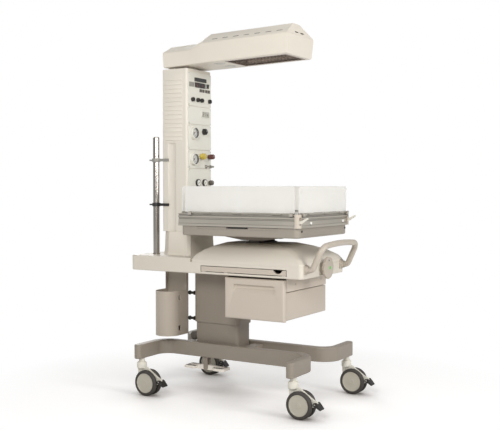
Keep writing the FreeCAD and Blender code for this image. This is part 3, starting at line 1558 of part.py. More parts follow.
def build():
    """All nodes of the unit by name."""
    left_leg = make_leg()
    nodes = {
        "base_leg_left": left_leg,
        "base_leg_right": mirrored(left_leg),
        "base_cross_frame": make_cross_frame(),
        "column_post": make_post(),
        "lift_actuator": make_actuator(),
        "height_pedal": make_pedal(),
        "lift_inner_tube": make_inner_tube(),
        "column_cover": make_column_cover(),
        "shelf": make_shelf(),
        "dome_cover": make_dome(),
        "column_plinth": make_plinth(),
        "upper_column_housing": make_upper_column(),
        "push_handle": make_handle(),
        "drawer_runners": make_runners(),
        "drawer": make_drawer(),
        "side_tray": make_side_tray(),
        "cylinder_holder": make_holder(),
        "column_brackets": make_brackets(),
        "accessory_pole": make_pole(),
        "control_panels": make_control_panels(),
        "gauge_cases": make_gauge_cases(),
        "gauge_lenses": make_gauge_lenses(),
        "gauge_needle_lower": make_gauge_needle(gauge_z[0]),
        "gauge_needle_upper": make_gauge_needle(gauge_z[1]),
        "power_switch": make_power_switch(),
        "tilt_base": make_tilt_base(),
        "tilt_cradle": make_cradle(),
        "tilt_knob": make_tilt_knob(),
        "bassinet_pan": make_pan(),
        "xray_tray": make_xray_tray(),
        "bassinet_rails": make_rails(),
        "corner_posts": make_corner_posts(),
        "corner_lever_left": make_lever(-1),
        "corner_lever_right": make_lever(1),
        "mattress_deck": make_deck(),
        "mattress": make_mattress(),
        "panel_left": make_side_panel(-1),
        "panel_right": make_side_panel(1),
        "panel_front": make_front_panel(),
        "panel_rear": make_rear_panel(),
    }
    for name, seat in knob_seats.items():
        nodes[name] = make_knob(*seat)
    shell = head_shell()
    nodes["hood_lower"] = make_hood_lower(shell.copy())
    nodes["hood_top_cover"] = make_hood_top(shell.copy())
    nodes["heater_grille"] = make_grille()
    nodes["heater_element"] = make_element()
    nodes["lamp_lenses"] = make_lenses()
    corners = {
        "front_left": (-stem_x, stem_front_y),
        "front_right": (stem_x, stem_front_y),
        "rear_left": (-stem_x, stem_rear_y),
        "rear_right": (stem_x, stem_rear_y),
    }
    for corner, (x, y) in corners.items():
        nodes["castor_housing_" + corner] = make_castor_housing(x, y)
        nodes["castor_wheels_" + corner] = make_castor_wheels(x, y)
        nodes["castor_brake_" + corner] = make_castor_brake(x, y)
    return nodes


os.makedirs("parts", exist_ok=True)
for name, shape in build().items():
    shape.exportStep(os.path.join("parts", name + ".step"))
    print(name, len(shape.Solids), "solids", round(shape.Volume / 1000, 1), "cm3", shape.isValid())
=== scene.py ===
# %% [markdown]
# # Infant resuscitation unit
# The unit stands beside a delivery bed: a heater head radiates on a small tilting bassinet, and a
# lifting column on four castors carries both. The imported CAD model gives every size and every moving
# part. Here it gets its finishes and the small things that a CAD solid leaves out.

# %% Load the frame
import bmesh
import bpy
import json
import math
from mathutils import Matrix, Vector


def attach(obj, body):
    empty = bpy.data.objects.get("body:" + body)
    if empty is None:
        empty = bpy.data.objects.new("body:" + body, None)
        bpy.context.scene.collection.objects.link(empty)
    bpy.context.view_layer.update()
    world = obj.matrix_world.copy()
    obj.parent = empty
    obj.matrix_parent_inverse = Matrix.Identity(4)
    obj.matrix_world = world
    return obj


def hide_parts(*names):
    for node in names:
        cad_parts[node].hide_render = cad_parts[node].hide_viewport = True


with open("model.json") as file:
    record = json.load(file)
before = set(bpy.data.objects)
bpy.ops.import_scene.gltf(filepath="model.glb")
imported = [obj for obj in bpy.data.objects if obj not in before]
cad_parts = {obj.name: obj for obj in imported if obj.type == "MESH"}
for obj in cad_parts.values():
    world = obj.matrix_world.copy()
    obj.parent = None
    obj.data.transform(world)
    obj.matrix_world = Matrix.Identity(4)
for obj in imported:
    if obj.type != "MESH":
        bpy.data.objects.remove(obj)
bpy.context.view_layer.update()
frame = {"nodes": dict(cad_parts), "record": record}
MM = 0.001

# %% [markdown]
# ## Shader maths as plain expressions
# A procedural finish is a small sum: a pattern, times a strength, plus a base value. Blender wants a node
# for each sign. The class below wraps a socket, so that `0.4 + 0.1 * noise` adds those nodes itself.

# %% A socket that Python can calculate with


class Signal:
    """An output socket. Arithmetic on it adds Math nodes to its tree."""

    def __init__(self, tree, socket):
        self.tree = tree
        self.socket = socket

    def maths(self, operation, first, second):
        node = self.tree.nodes.new("ShaderNodeMath")
        node.operation = operation
        for slot, value in enumerate((first, second)):
            if isinstance(value, Signal):
                self.tree.links.new(value.socket, node.inputs[slot])
            else:
                node.inputs[slot].default_value = value
        return Signal(self.tree, node.outputs[0])

    def __add__(self, other):
        return self.maths("ADD", self, other)

    def __radd__(self, other):
        return self.maths("ADD", other, self)

    def __mul__(self, other):
        return self.maths("MULTIPLY", self, other)

    def __rmul__(self, other):
        return self.maths("MULTIPLY", other, self)

    def __lt__(self, other):
        return self.maths("LESS_THAN", self, other)

    def __gt__(self, other):
        return self.maths("GREATER_THAN", self, other)


# %% [markdown]
# ## One material, one builder
# Each finish starts from the Principled shader. Numbers that are the same all over are set on its own
# sockets. Whatever changes over the surface comes in through `add`, the one method that makes a node.

# %% A material under construction


class Finish:
    """A material with its shader, and one method that adds any node."""

    def __init__(self, name, **constants):
        self.material = bpy.data.materials.new(name)
        self.material.use_nodes = True
        self.tree = self.material.node_tree
        self.shader = self.tree.nodes["Principled BSDF"]
        for socket, value in constants.items():
            self.shader.inputs[socket.replace("_", " ")].default_value = value

    def add(self, kind, settings=None, output=0, **sockets):
        """One node's output. The words i0, i1 and so on are inputs by number, all others by name."""
        node = self.tree.nodes.new(kind)
        for setting, value in (settings or {}).items():
            if setting == "stops":
                ramp = node.color_ramp.elements
                for index, (position, colour) in enumerate(value):
                    stop = ramp[index] if index < 2 else ramp.new(position)
                    stop.position = position
                    stop.color = colour
            else:
                setattr(node, setting, value)
        for socket, value in sockets.items():
            key = int(socket[1:]) if socket[0] == "i" and socket[1:].isdigit() else socket.replace("_", " ")
            if isinstance(value, Signal):
                self.tree.links.new(value.socket, node.inputs[key])
            else:
                node.inputs[key].default_value = value
        return Signal(self.tree, node.outputs[output])

    def feed(self, socket, signal):
        self.tree.links.new(signal.socket, self.shader.inputs[socket])

    def place(self, scale=(1.0, 1.0, 1.0), centre=(0.0, 0.0, 0.0)):
        """Object coordinates, stretched, with a new centre in metres."""
        raw = self.add("ShaderNodeTexCoord", output=3)
        moved = self.add("ShaderNodeVectorMath", {"operation": "SUBTRACT"}, i0=raw, i1=centre)
        return self.add("ShaderNodeVectorMath", {"operation": "MULTIPLY"}, i0=moved, i1=scale)

    def noise(self, scale, detail=2.0, vector=None):
        """Cloudy pattern from 0 to 1, mostly between 0.3 and 0.7."""
        vector = vector or self.place()
        return self.add("ShaderNodeTexNoise", Vector=vector, Scale=scale, Detail=detail)

    def blend(self, factor, first, second):
        """Colour between two colours."""
        return self.add("ShaderNodeMix", {"data_type": "RGBA"}, 2, i0=factor, i6=first, i7=second)

    def bump(self, height, strength, distance):
        normal = self.add("ShaderNodeBump", Height=height, Strength=strength, Distance=distance)
        self.feed("Normal", normal)


def shade(colour, factor):
    """A colour made lighter or darker, with full alpha."""
    return tuple(min(1.0, channel * factor) for channel in colour[:3]) + (1.0,)


# %% [markdown]
# ## The finishes
# Most of the unit is cream: moulded plastic on the shelf, drawer and head, powder paint on the column.
# Seen closely, such plastic is never one colour. It has a very fine grain, and handling makes patches
# that shine a little more. The function below makes every moulded or painted finish from those two facts.

# %% Moulded and painted finishes


def moulded(name, colour, rough=0.45, grain=0.12, grain_size=1400.0, mottle=0.03, coat=0.0):
    """Plastic or paint: slight clouds in its colour, a fine grain, and patches of handling shine."""
    finish = Finish(name, Coat_Weight=coat, Coat_Roughness=0.25)
    clouds = finish.noise(5.0, 3.0)
    specks = finish.noise(260.0, 2.0)
    colour_mask = 0.75 * clouds + 0.25 * specks
    finish.feed("Base Color", finish.blend(colour_mask, shade(colour, 1 - mottle), shade(colour, 1 + mottle)))
    handled = finish.noise(17.0, 4.0)
    finish.feed("Roughness", rough - 0.05 + 0.10 * handled + 0.04 * specks)
    finish.bump(finish.noise(grain_size, 2.0), grain, 0.0004)
    return finish.material


cream = (0.79, 0.73, 0.63)
cream_moulding = moulded("cream_moulding", cream, 0.42)
cream_paint = moulded("cream_paint", (0.76, 0.71, 0.62), 0.38, 0.08, 700.0)
panel_sheet = moulded("panel_sheet", (0.78, 0.76, 0.68), 0.45, 0.06, 1800.0)
drawer_moulding = moulded("drawer_moulding", (0.57, 0.50, 0.42), 0.46)
pan_moulding = moulded("pan_moulding", (0.34, 0.30, 0.25), 0.46)
shelf_moulding = moulded("shelf_moulding", (0.70, 0.645, 0.555), 0.42)
holder_paint = moulded("holder_paint", (0.46, 0.40, 0.33), 0.42, 0.08, 700.0)
taupe_casting = moulded("taupe_casting", (0.28, 0.24, 0.195), 0.40, 0.22, 420.0, 0.05)
taupe_paint = moulded("taupe_paint", (0.27, 0.23, 0.185), 0.42, 0.10, 700.0, 0.04)
handle_paint = moulded("handle_paint", (0.50, 0.44, 0.365), 0.36, 0.08, 900.0)
castor_moulding = moulded("castor_moulding", (0.73, 0.70, 0.61), 0.40)
hub_moulding = moulded("hub_moulding", (0.48, 0.45, 0.37), 0.48, 0.18, 900.0, 0.04)
pedal_moulding = moulded("pedal_moulding", (0.82, 0.76, 0.68), 0.5, 0.3, 350.0, 0.04)
black_moulding = moulded("black_moulding", (0.018, 0.016, 0.014), 0.42, 0.2, 900.0, 0.2)
dark_moulding = moulded("dark_moulding", (0.10, 0.085, 0.07), 0.5, 0.2, 900.0, 0.08)
grey_moulding = moulded("grey_moulding", (0.30, 0.29, 0.26), 0.45, 0.15, 900.0, 0.05)
white_moulding = moulded("white_moulding", (0.85, 0.84, 0.80), 0.35, 0.05, 900.0, 0.02, 0.2)
yellow_moulding = moulded("yellow_moulding", (0.58, 0.44, 0.07), 0.35, 0.1, 900.0, 0.05, 0.3)
red_moulding = moulded("red_moulding", (0.11, 0.03, 0.025), 0.35, 0.1, 900.0, 0.05, 0.3)
green_moulding = moulded("green_moulding", (0.08, 0.50, 0.05), 0.35, 0.1, 900.0, 0.05, 0.3)
print("moulded and painted finishes:", len(bpy.data.materials))

# %% [markdown]
# ## Metal
# The bassinet rails are anodised aluminium with fine lines along their length, from the tool that finished
# them. Noise that is stretched along the metal gives such lines: it changes the roughness, and a little
# bump makes the highlight break up. The pole is ground so finely that no line shows, only faint clouds.

# %% Brushed and polished metals


def brushed(name, colour, rough, stretch, strength=0.15, metallic=1.0, groove_shade=0.0):
    """Metal with fine lines; stretch holds the pattern's scale along x, y and z.

    Above zero, the last argument is a width in metres, and every corner of about that width gets painted
    shade.
    """
    finish = Finish(name, Metallic=metallic)
    lines = finish.noise(1.0, 2.0, finish.place(stretch))
    clouds = finish.noise(9.0, 3.0)
    metal = finish.blend(0.6 * lines + 0.4 * clouds, shade(colour, 0.88), shade(colour, 1.1))
    if groove_shade > 0:
        # Ambient occlusion paints shade into the grooves and corners of the metal.
        openness = finish.add("ShaderNodeAmbientOcclusion", {"samples": 8}, 1, Distance=groove_shade)
        bright = finish.add("ShaderNodeMapRange", Value=openness, From_Min=0.35, From_Max=0.95)
        metal = finish.blend(bright, shade(colour, 0.30), metal)
    finish.feed("Base Color", metal)
    finish.feed("Roughness", rough - 0.08 + 0.16 * lines)
    finish.bump(lines, strength, 0.0002)
    return finish.material


def polished(name, colour, rough):
    """Plain ground metal: faint clouds, no lines that a camera could see."""
    finish = Finish(name, Metallic=1.0)
    clouds = finish.noise(6.0, 2.0)
    finish.feed("Base Color", finish.blend(clouds, shade(colour, 0.96), shade(colour, 1.04)))
    finish.feed("Roughness", rough - 0.02 + 0.04 * clouds)
    return finish.material


pole_steel = polished("pole_steel", (0.36, 0.33, 0.30), 0.24)
# The rails get painted shade in the grooves of their profile.
side_rail_metal = brushed("side_rail_metal", (0.50, 0.465, 0.405), 0.40, (800.0, 6.0, 800.0), 0.1,
                          metallic=0.75, groove_shade=0.011)
heater_metal = brushed("heater_metal", (0.46, 0.36, 0.29), 0.35, (400.0, 10.0, 400.0))
grille_metal = brushed("grille_metal", (0.30, 0.23, 0.18), 0.40, (60.0, 60.0, 60.0))
lift_steel = brushed("lift_steel", (0.55, 0.54, 0.52), 0.32, (700.0, 700.0, 9.0))
screw_steel = brushed("screw_steel", (0.42, 0.40, 0.37), 0.30, (500.0, 500.0, 500.0))
print("finishes so far:", len(bpy.data.materials))

# %% [markdown]
# ## Rubber, clear sheet and cloth
# Tyre rubber is matt and picks up dust. The bassinet walls are pale, hazy acrylic: a little shows through
# face on and less where one looks along the sheet, which Layer Weight gives. Their feet stand in a metal
# channel, so below its top the sheet looks like metal. The mattress cover is a coated cloth with a shallow
# grain.

# %% Rubber, acrylic, lens, lamp glass and cover

# In metres, because a material's coordinates are.
CHANNEL_TOP = 0.9312


def make_rubber():
    finish = Finish("tyre_rubber")
    dust = finish.noise(30.0, 4.0)
    scuffs = finish.noise(300.0, 3.0)
    finish.feed("Base Color", finish.blend(dust, (0.028, 0.024, 0.021, 1), (0.07, 0.062, 0.054, 1)))
    finish.feed("Roughness", 0.55 + 0.25 * scuffs)
    finish.bump(scuffs, 0.25, 0.0006)
    return finish.material


def make_acrylic():
    finish = Finish("clear_acrylic", IOR=1.49)
    facing = finish.add("ShaderNodeLayerWeight", output=1, Blend=0.25)
    haze = finish.noise(6.0, 4.0)
    height = finish.add("ShaderNodeSeparateXYZ", output=2, Vector=finish.place())
    channel = height < CHANNEL_TOP
    sheet = finish.blend(haze, (0.90, 0.88, 0.83, 1), (0.95, 0.935, 0.89, 1))
    finish.feed("Base Color", finish.blend(channel, sheet, (0.42, 0.39, 0.34, 1)))
    finish.feed("Metallic", 0.6 * channel)
    finish.feed("Roughness", 0.06 + 0.34 * channel)
    finish.feed("Alpha", 0.70 + 0.26 * facing + 0.04 * haze + 0.3 * channel)
    return finish.material


def make_lens():
    finish = Finish("clear_lens", Roughness=0.05, IOR=1.5)
    facing = finish.add("ShaderNodeLayerWeight", output=1, Blend=0.3)
    finish.feed("Base Color", finish.blend(facing, (0.84, 0.83, 0.80, 1), (0.95, 0.94, 0.91, 1)))
    finish.feed("Alpha", 0.05 + 0.25 * facing)
    return finish.material


def make_lamp_glass():
    finish = Finish("lamp_glass", Roughness=0.3, Coat_Weight=0.2, Coat_Roughness=0.15)
    facets = finish.add("ShaderNodeTexVoronoi", {"feature": "F1"}, Vector=finish.place(), Scale=160.0)
    finish.feed("Base Color", finish.blend(facets, (0.42, 0.39, 0.33, 1), (0.62, 0.59, 0.52, 1)))
    finish.bump(facets, 0.5, 0.001)
    return finish.material


def make_cover_cloth():
    finish = Finish("mattress_cover", Sheen_Weight=0.25, Sheen_Roughness=0.5)
    clouds = finish.noise(7.0, 3.0)
    grain = finish.add("ShaderNodeTexVoronoi", {"feature": "F1"}, Vector=finish.place(), Scale=900.0)
    finish.feed("Base Color", finish.blend(clouds, (0.76, 0.74, 0.68, 1), (0.84, 0.82, 0.77, 1)))
    finish.feed("Roughness", 0.5 + 0.15 * clouds + 0.1 * grain)
    finish.bump(grain, 0.3, 0.0005)
    return finish.material


tyre_rubber = make_rubber()
clear_acrylic = make_acrylic()
clear_lens = make_lens()
lamp_glass = make_lamp_glass()
cover_cloth = make_cover_cloth()
display_glass = moulded("display_glass", (0.02, 0.022, 0.02), 0.12, 0.0, 900.0, 0.1, 0.5)
liquid_crystal = moulded("liquid_crystal", (0.50, 0.49, 0.42), 0.2, 0.0, 900.0, 0.04, 0.3)
dial_enamel = moulded("dial_enamel", (0.82, 0.81, 0.75), 0.35, 0.0, 900.0, 0.01)
print("all finishes:", len(bpy.data.materials))

# %% [markdown]
# ## Helpers for shapes
# A piece is a list of small bmeshes. Each starts from one of Blender's own shapes or a profile of a few
# points, and an operator does the rest: bevel rounds it, spin turns it. `make_piece` gathers them into one
# object at the origin, which then rides on a CAD body.

# %% Shape helpers

AXES = {"x": Vector((1, 0, 0)), "y": Vector((0, 1, 0)), "z": Vector((0, 0, 1))}


def block(low, high, corner=0.0, axis="y", edge=0.0):
    """Box between two corners in mm; corner rounds the edges along the axis, edge all that are left."""
    shape = bmesh.new()
    bmesh.ops.create_cube(shape, size=1.0)
    size = [abs(h - l) * MM for l, h in zip(low, high)]
    middle = [(h + l) / 2 * MM for l, h in zip(low, high)]
    bmesh.ops.scale(shape, vec=size, verts=shape.verts)
    bmesh.ops.translate(shape, vec=middle, verts=shape.verts)
    rounding = {"offset_type": "OFFSET", "affect": "EDGES", "profile": 0.5, "material": -1}
    if corner > 0:
        upright = []
        for side in shape.edges:
            run = (side.verts[0].co - side.verts[1].co).normalized()
            if abs(run.dot(AXES[axis])) > 0.9:
                upright.append(side)
        bmesh.ops.bevel(shape, geom=upright, offset=corner * MM, segments=5, **rounding)
    if edge > 0:
        sharp = [side for side in shape.edges if side.calc_face_angle(0.0) > 0.8]
        bmesh.ops.bevel(shape, geom=sharp, offset=edge * MM, segments=2, **rounding)
    return shape


def turning(profile, axis, centre, steps=48):
    """Turned shape: profile holds (along, radius) in mm from end to end, spun about the axis."""
    shape = bmesh.new()
    along = AXES[axis]
    out = AXES[{"x": "y", "y": "z", "z": "x"}[axis]]
    base = Vector(centre) * MM
    points = [shape.verts.new(base + (along * a + out * r) * MM) for a, r in profile]
    edges = [shape.edges.new(pair) for pair in zip(points[:-1], points[1:])]
    bmesh.ops.spin(shape, geom=points + edges, cent=base, axis=along, angle=math.tau, steps=steps,
                   use_merge=True)
    bmesh.ops.remove_doubles(shape, verts=shape.verts, dist=1e-6)
    bmesh.ops.recalc_face_normals(shape, faces=shape.faces)
    return shape


def make_piece(name, shapes, finish, body, replaces=(), sharp=32.0):
    """Gather shapes into one object that rides on a CAD body."""
    whole = bmesh.new()
    for shape in shapes:
        step = bpy.data.meshes.new("step")
        shape.to_mesh(step)
        shape.free()
        whole.from_mesh(step)
        bpy.data.meshes.remove(step)
    mesh = bpy.data.meshes.new(name)
    whole.to_mesh(mesh)
    whole.free()
    mesh.materials.append(finish)
    mesh.shade_smooth()
    mesh.set_sharp_from_angle(angle=math.radians(sharp))
    piece = bpy.data.objects.new(name, mesh)
    bpy.context.scene.collection.objects.link(piece)
    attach(piece, body)
    if replaces:
        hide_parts(*replaces)
    print(name, len(mesh.polygons), "faces")
    return piece


bodies = frame["record"]["behaviour"]["bodies"]
body_of_node = {node: body for body, nodes in bodies.items() for node in nodes}

# %% [markdown]
# ## Small shapes that come back often
# Screws, ticks on a dial and seven-bar numerals are each one short function. A ring of copies turns a
# shape about a line, so a dial is one tick and one call.

# %% Screws, rings and numerals


def ring(make, centre, axis, angles):
    """One fresh shape for each angle in degrees, turned about a line through the centre in mm."""
    shapes = []
    for angle in angles:
        shape = make()
        turn = Matrix.Rotation(math.radians(angle), 3, AXES[axis])
        bmesh.ops.rotate(shape, cent=Vector(centre) * MM, matrix=turn, verts=shape.verts)
        shapes.append(shape)
    return shapes


def screw(place, axis, out, radius=4.0, height=1.6):
    """Button-head screw with a socket; out is +1 or -1 along the axis."""
    flange = [(-0.4, 0), (-0.4, radius), (height * 0.3, radius), (height * 0.8, radius * 0.8),
              (height, radius * 0.5), (height * 0.4, radius * 0.44), (height * 0.4, 0)]
    return turning([(along * out, r) for along, r in flange], axis, place, 20)


BARS = {"0": "abcdef", "1": "bc", "2": "abged", "3": "abgcd", "4": "fgbc", "5": "afgcd", "6": "afgedc",
        "7": "abc", "8": "abcdefg", "9": "gfabcd"}
BAR_PLACES = {"a": (0, 2, 1), "b": (1, 1.5, 0), "c": (1, 0.5, 0), "d": (0, 0, 1), "e": (-1, 0.5, 0),
              "f": (-1, 1.5, 0), "g": (0, 1, 1)}


def numeral(text, x, y, z, height):
    """Seven-bar digits on a plane that faces the operator, centred on x and z."""
    shapes = []
    unit = height / 2
    thick = height * 0.07
    for index, digit in enumerate(text):
        middle = x + (index - (len(text) - 1) / 2) * height * 0.85
        for bar in BARS[digit]:
            across, up, flat = BAR_PLACES[bar]
            u = middle + across * unit / 2
            v = z - unit + up * unit
            du, dv = (unit * 0.42, thick) if flat else (thick, unit * 0.42)
            shapes.append(block((u - du, y - 0.3, v - dv), (u + du, y + 0.2, v + dv)))
    return shapes


# %% [markdown]
# ## Dressing a CAD solid
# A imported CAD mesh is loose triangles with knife-sharp edges. Real mouldings and castings have soft edges
# that catch the light. So a copy is merged, its flat triangles are dissolved into whole faces, and a small
# Bevel modifier rounds what is left. The copy then stands for the node.

# %% Copies of CAD solids


def merged(node):
    """A merged copy of a node's mesh, with its flat triangles joined into whole faces."""
    shape = bmesh.new()
    shape.from_mesh(frame["nodes"][node].data)
    bmesh.ops.remove_doubles(shape, verts=shape.verts, dist=2e-6)
    bmesh.ops.dissolve_limit(shape, angle_limit=math.radians(0.4), verts=shape.verts, edges=shape.edges)
    return shape


def solids_of(node):
    """The separate solids of a node, each with its middle and its size in mm."""
    whole = merged(node)
    whole.verts.index_update()
    waiting = set(whole.verts)
    found = []
    while waiting:
        first = waiting.pop()
        group = {first}
        front = [first]
        while front:
            for edge in front.pop().link_edges:
                for vert in edge.verts:
                    if vert in waiting:
                        waiting.discard(vert)
                        group.add(vert)
                        front.append(vert)
        keep = {vert.index for vert in group}
        low = [min(vert.co[k] for vert in group) / MM for k in range(3)]
        high = [max(vert.co[k] for vert in group) / MM for k in range(3)]
        part = whole.copy()
        others = [vert for vert in part.verts if vert.index not in keep]
        bmesh.ops.delete(part, geom=others, context="VERTS")
        found.append((part, [(a + b) / 2 for a, b in zip(low, high)], [b - a for a, b in zip(low, high)]))
    whole.free()
    return found


def soften(piece, edge, sharp=30.0):
    """Round a piece's sharp edges by a small bevel, edge in mm."""
    bevel = piece.modifiers.new("soft_edges", "BEVEL")
    bevel.width = edge * MM
    bevel.segments = 2
    bevel.limit_method = "ANGLE"
    bevel.angle_limit = math.radians(sharp + 5)
    bevel.harden_normals = True
    return piece


def dressed(node, finish, edge=0.8, sharp=30.0):
    """A smooth-shaded copy of a CAD node with softened edges, edge in mm."""
    piece = make_piece(node + "_dressed", [merged(node)], finish, body_of_node[node],
                       [node], sharp)
    return soften(piece, edge, sharp) if edge > 0 else piece


# %% [markdown]
# ## Which finish each node has
# The dictionary is the whole colour plan. Nodes that stay out of sight keep their CAD mesh with the right
# finish, and all others are dressed below.

# %% Colour plan


finish_of_node = {
    "base_leg_left": taupe_casting, "base_leg_right": taupe_casting, "base_cross_frame": taupe_paint,
    "column_post": taupe_paint, "lift_actuator": dark_moulding, "lift_inner_tube": lift_steel,
    "height_pedal": pedal_moulding, "column_cover": taupe_paint, "shelf": shelf_moulding,
    "dome_cover": shelf_moulding, "column_plinth": cream_moulding, "upper_column_housing": cream_paint,
    "push_handle": handle_paint, "drawer_runners": drawer_moulding, "drawer": drawer_moulding,
    "side_tray": drawer_moulding, "cylinder_holder": holder_paint, "column_brackets": black_moulding,
    "accessory_pole": pole_steel, "gauge_cases": panel_sheet, "gauge_lenses": clear_lens,
    "gauge_needle_lower": black_moulding, "gauge_needle_upper": black_moulding,
    "oxygen_knob": yellow_moulding, "pressure_knob": red_moulding, "suction_knob": dark_moulding,
    "power_switch": black_moulding, "tilt_base": dark_moulding, "tilt_cradle": taupe_paint,
    "tilt_knob": handle_paint, "bassinet_pan": pan_moulding, "xray_tray": pan_moulding,
    "bassinet_rails": side_rail_metal, "corner_posts": drawer_moulding, "corner_lever_left": castor_moulding,
    "corner_lever_right": castor_moulding, "mattress_deck": grey_moulding, "mattress": cover_cloth,
    "panel_left": clear_acrylic, "panel_right": clear_acrylic, "panel_front": clear_acrylic,
    "panel_rear": clear_acrylic, "hood_lower": cream_moulding, "hood_top_cover": cream_moulding,
    "heater_grille": grille_metal, "heater_element": heater_metal, "lamp_lenses": lamp_glass,
    "control_panels": panel_sheet,
}
for corner in ("front_left", "front_right", "rear_left", "rear_right"):
    finish_of_node["castor_housing_" + corner] = castor_moulding
    finish_of_node["castor_wheels_" + corner] = tyre_rubber
    finish_of_node["castor_brake_" + corner] = black_moulding
for node, finish in finish_of_node.items():
    solid = frame["nodes"][node]
    solid.data.materials.clear()
    solid.data.materials.append(finish)
print("nodes with a finish:", len(finish_of_node))

# %% [markdown]
# ## Large mouldings, castings and sheet pieces
# How soft an edge is tells what a piece is made of: castings and rotation-moulded covers have wide edges,
# folded sheet and machined rail have fine ones.

# %% Dress the large pieces

edge_of_node = {
    "base_leg_left": 1.5, "base_leg_right": 1.5, "base_cross_frame": 0.6, "column_post": 0.6,
    "column_cover": 0.6, "height_pedal": 1.0, "shelf": 1.0, "dome_cover": 1.2, "column_plinth": 1.6,
    "upper_column_housing": 0.7, "push_handle": 0.6, "drawer_runners": 0.4, "drawer": 1.0, "side_tray": 0.8,
    "cylinder_holder": 0.6, "accessory_pole": 0.5, "power_switch": 0.4,
    "oxygen_knob": 0.6, "pressure_knob": 0.6, "suction_knob": 0.6, "tilt_base": 0.8, "tilt_cradle": 1.2,
    "tilt_knob": 1.0, "bassinet_pan": 1.0, "xray_tray": 0.6, "bassinet_rails": 0.35, "corner_posts": 0.8,
    "corner_lever_left": 1.0, "corner_lever_right": 1.0, "panel_left": 0.7, "panel_right": 0.7,
    "panel_front": 0.7, "panel_rear": 0.7, "hood_lower": 1.0, "hood_top_cover": 1.0, "gauge_cases": 0.5,
    "lamp_lenses": 0.5, "heater_grille": 0.0,
}
for corner in ("front_left", "front_right", "rear_left", "rear_right"):
    edge_of_node["castor_housing_" + corner] = 1.2
    edge_of_node["castor_brake_" + corner] = 1.0
for node, edge in edge_of_node.items():
    dressed(node, finish_of_node[node], edge)

# The pole's two clamps are one CAD node with two colours, told apart by their height in mm.
BETWEEN_CLAMPS = 1050
clamps = {"upper": [], "lower": []}
for shape, middle, size in solids_of("column_brackets"):
    clamps["upper" if middle[2] > BETWEEN_CLAMPS else "lower"].append(shape)
for place, finish, stands_for in (("upper", grey_moulding, ["column_brackets"]),
                                  ("lower", black_moulding, [])):
    clamp = make_piece(place + "_clamp", clamps[place], finish, "carriage", stands_for)
    soften(clamp, 0.6)

# %% [markdown]
# ## Castors
# A CAD wheel is turned with flat facets. The wheels here have a crowned tread and a dished hub with a
# rolled rim, and the hub is a light moulding while only the tread is rubber.

# %% Tyres and hubs

WHEEL_R = 65.0
HALF_GAP = 8.0
tyre_profile = [(0.0, 49.5), (0.3, 56), (1.6, 60.5), (4.5, 63.6), (8.5, 64.8), (12, 65), (15.5, 64.8),
                (19.5, 63.6), (22.4, 60.5), (23.7, 56), (23.4, 51.5), (22.2, 49.5), (0.0, 49.5)]
hub_profile = [(2.5, 0), (2.5, 49.4), (21.8, 49.4), (23.2, 48.2), (23.2, 45.6), (21.9, 44.2), (21.2, 40),
               (20.8, 26), (21.4, 14), (22.6, 12.6), (22.6, 4.2), (21.8, 3.4), (21.8, 0)]


def make_wheels(corner, x, y):
    tyres = []
    hubs = []
    for side in (-1, 1):
        start = x + side * HALF_GAP
        for shapes, profile in ((tyres, tyre_profile), (hubs, hub_profile)):
            placed = [(start + side * along, radius) for along, radius in profile]
            shapes.append(turning(placed, "x", (0, y, WHEEL_R), 96))
    body = "wheels_" + corner
    make_piece("tyres_" + corner, tyres, tyre_rubber, body, ["castor_wheels_" + corner])
    make_piece("hubs_" + corner, hubs, hub_moulding, body)


for corner, x, y in (("front_left", -286, -465), ("front_right", 286, -465),
                     ("rear_left", -286, 408), ("rear_right", 286, 408)):
    make_wheels(corner, x, y)

# %% [markdown]
# ## The mattress
# The CAD mattress is a block. A real one is foam in a welded cover: it crowns, its sides pull in a little
# between the corners, and a piped seam runs round it. Blender's cloth solver gives the crown: the block is
# remeshed, blown up by a little pressure with gravity off, and no point may move more than 7 mm. The
# piping is laid round it afterwards.

# %% Mattress pad and piping

# In metres: the voxels of the remeshed block, and how far the pressure may push a point.
VOXEL = 0.006
SWELL_LIMIT = 0.007
CLOTH_STEPS = 20


def make_mattress():
    shape = merged("mattress")
    xs = [vert.co.x for vert in shape.verts]
    ys = [vert.co.y for vert in shape.verts]
    zs = [vert.co.z for vert in shape.verts]
    middle = Vector(((min(xs) + max(xs)) / 2, (min(ys) + max(ys)) / 2, min(zs)))
    height = max(zs) - min(zs)
    half_x = (max(xs) - min(xs)) / 2
    half_y = (max(ys) - min(ys)) / 2
    shrink = (1 - 0.004 / half_x, 1 - 0.004 / half_y, 1 - 0.005 / height)
    for vert in shape.verts:
        vert.co = middle + Vector([a * b for a, b in zip(vert.co - middle, shrink)])
    pad = make_piece("mattress_pad", [shape], cover_cloth, "bassinet", ["mattress"], 60.0)
    remesh = pad.modifiers.new("even", "REMESH")
    remesh.mode = "VOXEL"
    remesh.voxel_size = VOXEL
    apply_modifiers(pad)
    rest = [vert.co.copy() for vert in pad.data.vertices]
    cloth = pad.modifiers.new("fill", "CLOTH")
    cloth.settings.use_pressure = True
    cloth.settings.uniform_pressure_force = 4.0
    cloth.settings.effector_weights.gravity = 0.0
    cloth.point_cache.frame_end = CLOTH_STEPS
    for step in range(1, CLOTH_STEPS + 1):
        bpy.context.scene.frame_set(step)
    apply_modifiers(pad)
    bpy.context.scene.frame_set(1)
    for vert, start in zip(pad.data.vertices, rest):
        move = vert.co - start
        if move.length > SWELL_LIMIT:
            move *= SWELL_LIMIT / move.length
        if start.z < middle.z + 0.004:
            move.z = max(0.0, move.z)
        vert.co = start + move
    pad.data.shade_smooth()
    subdivision = pad.modifiers.new("smooth", "SUBSURF")
    subdivision.levels = 1
    subdivision.render_levels = 1
    return middle, half_x, half_y, height


def apply_modifiers(piece):
    """Put what a piece's modifiers show into its own mesh."""
    shown = piece.evaluated_get(bpy.context.evaluated_depsgraph_get())
    mesh = bpy.data.meshes.new_from_object(shown)
    piece.modifiers.clear()
    old = piece.data
    piece.data = mesh
    bpy.data.meshes.remove(old)


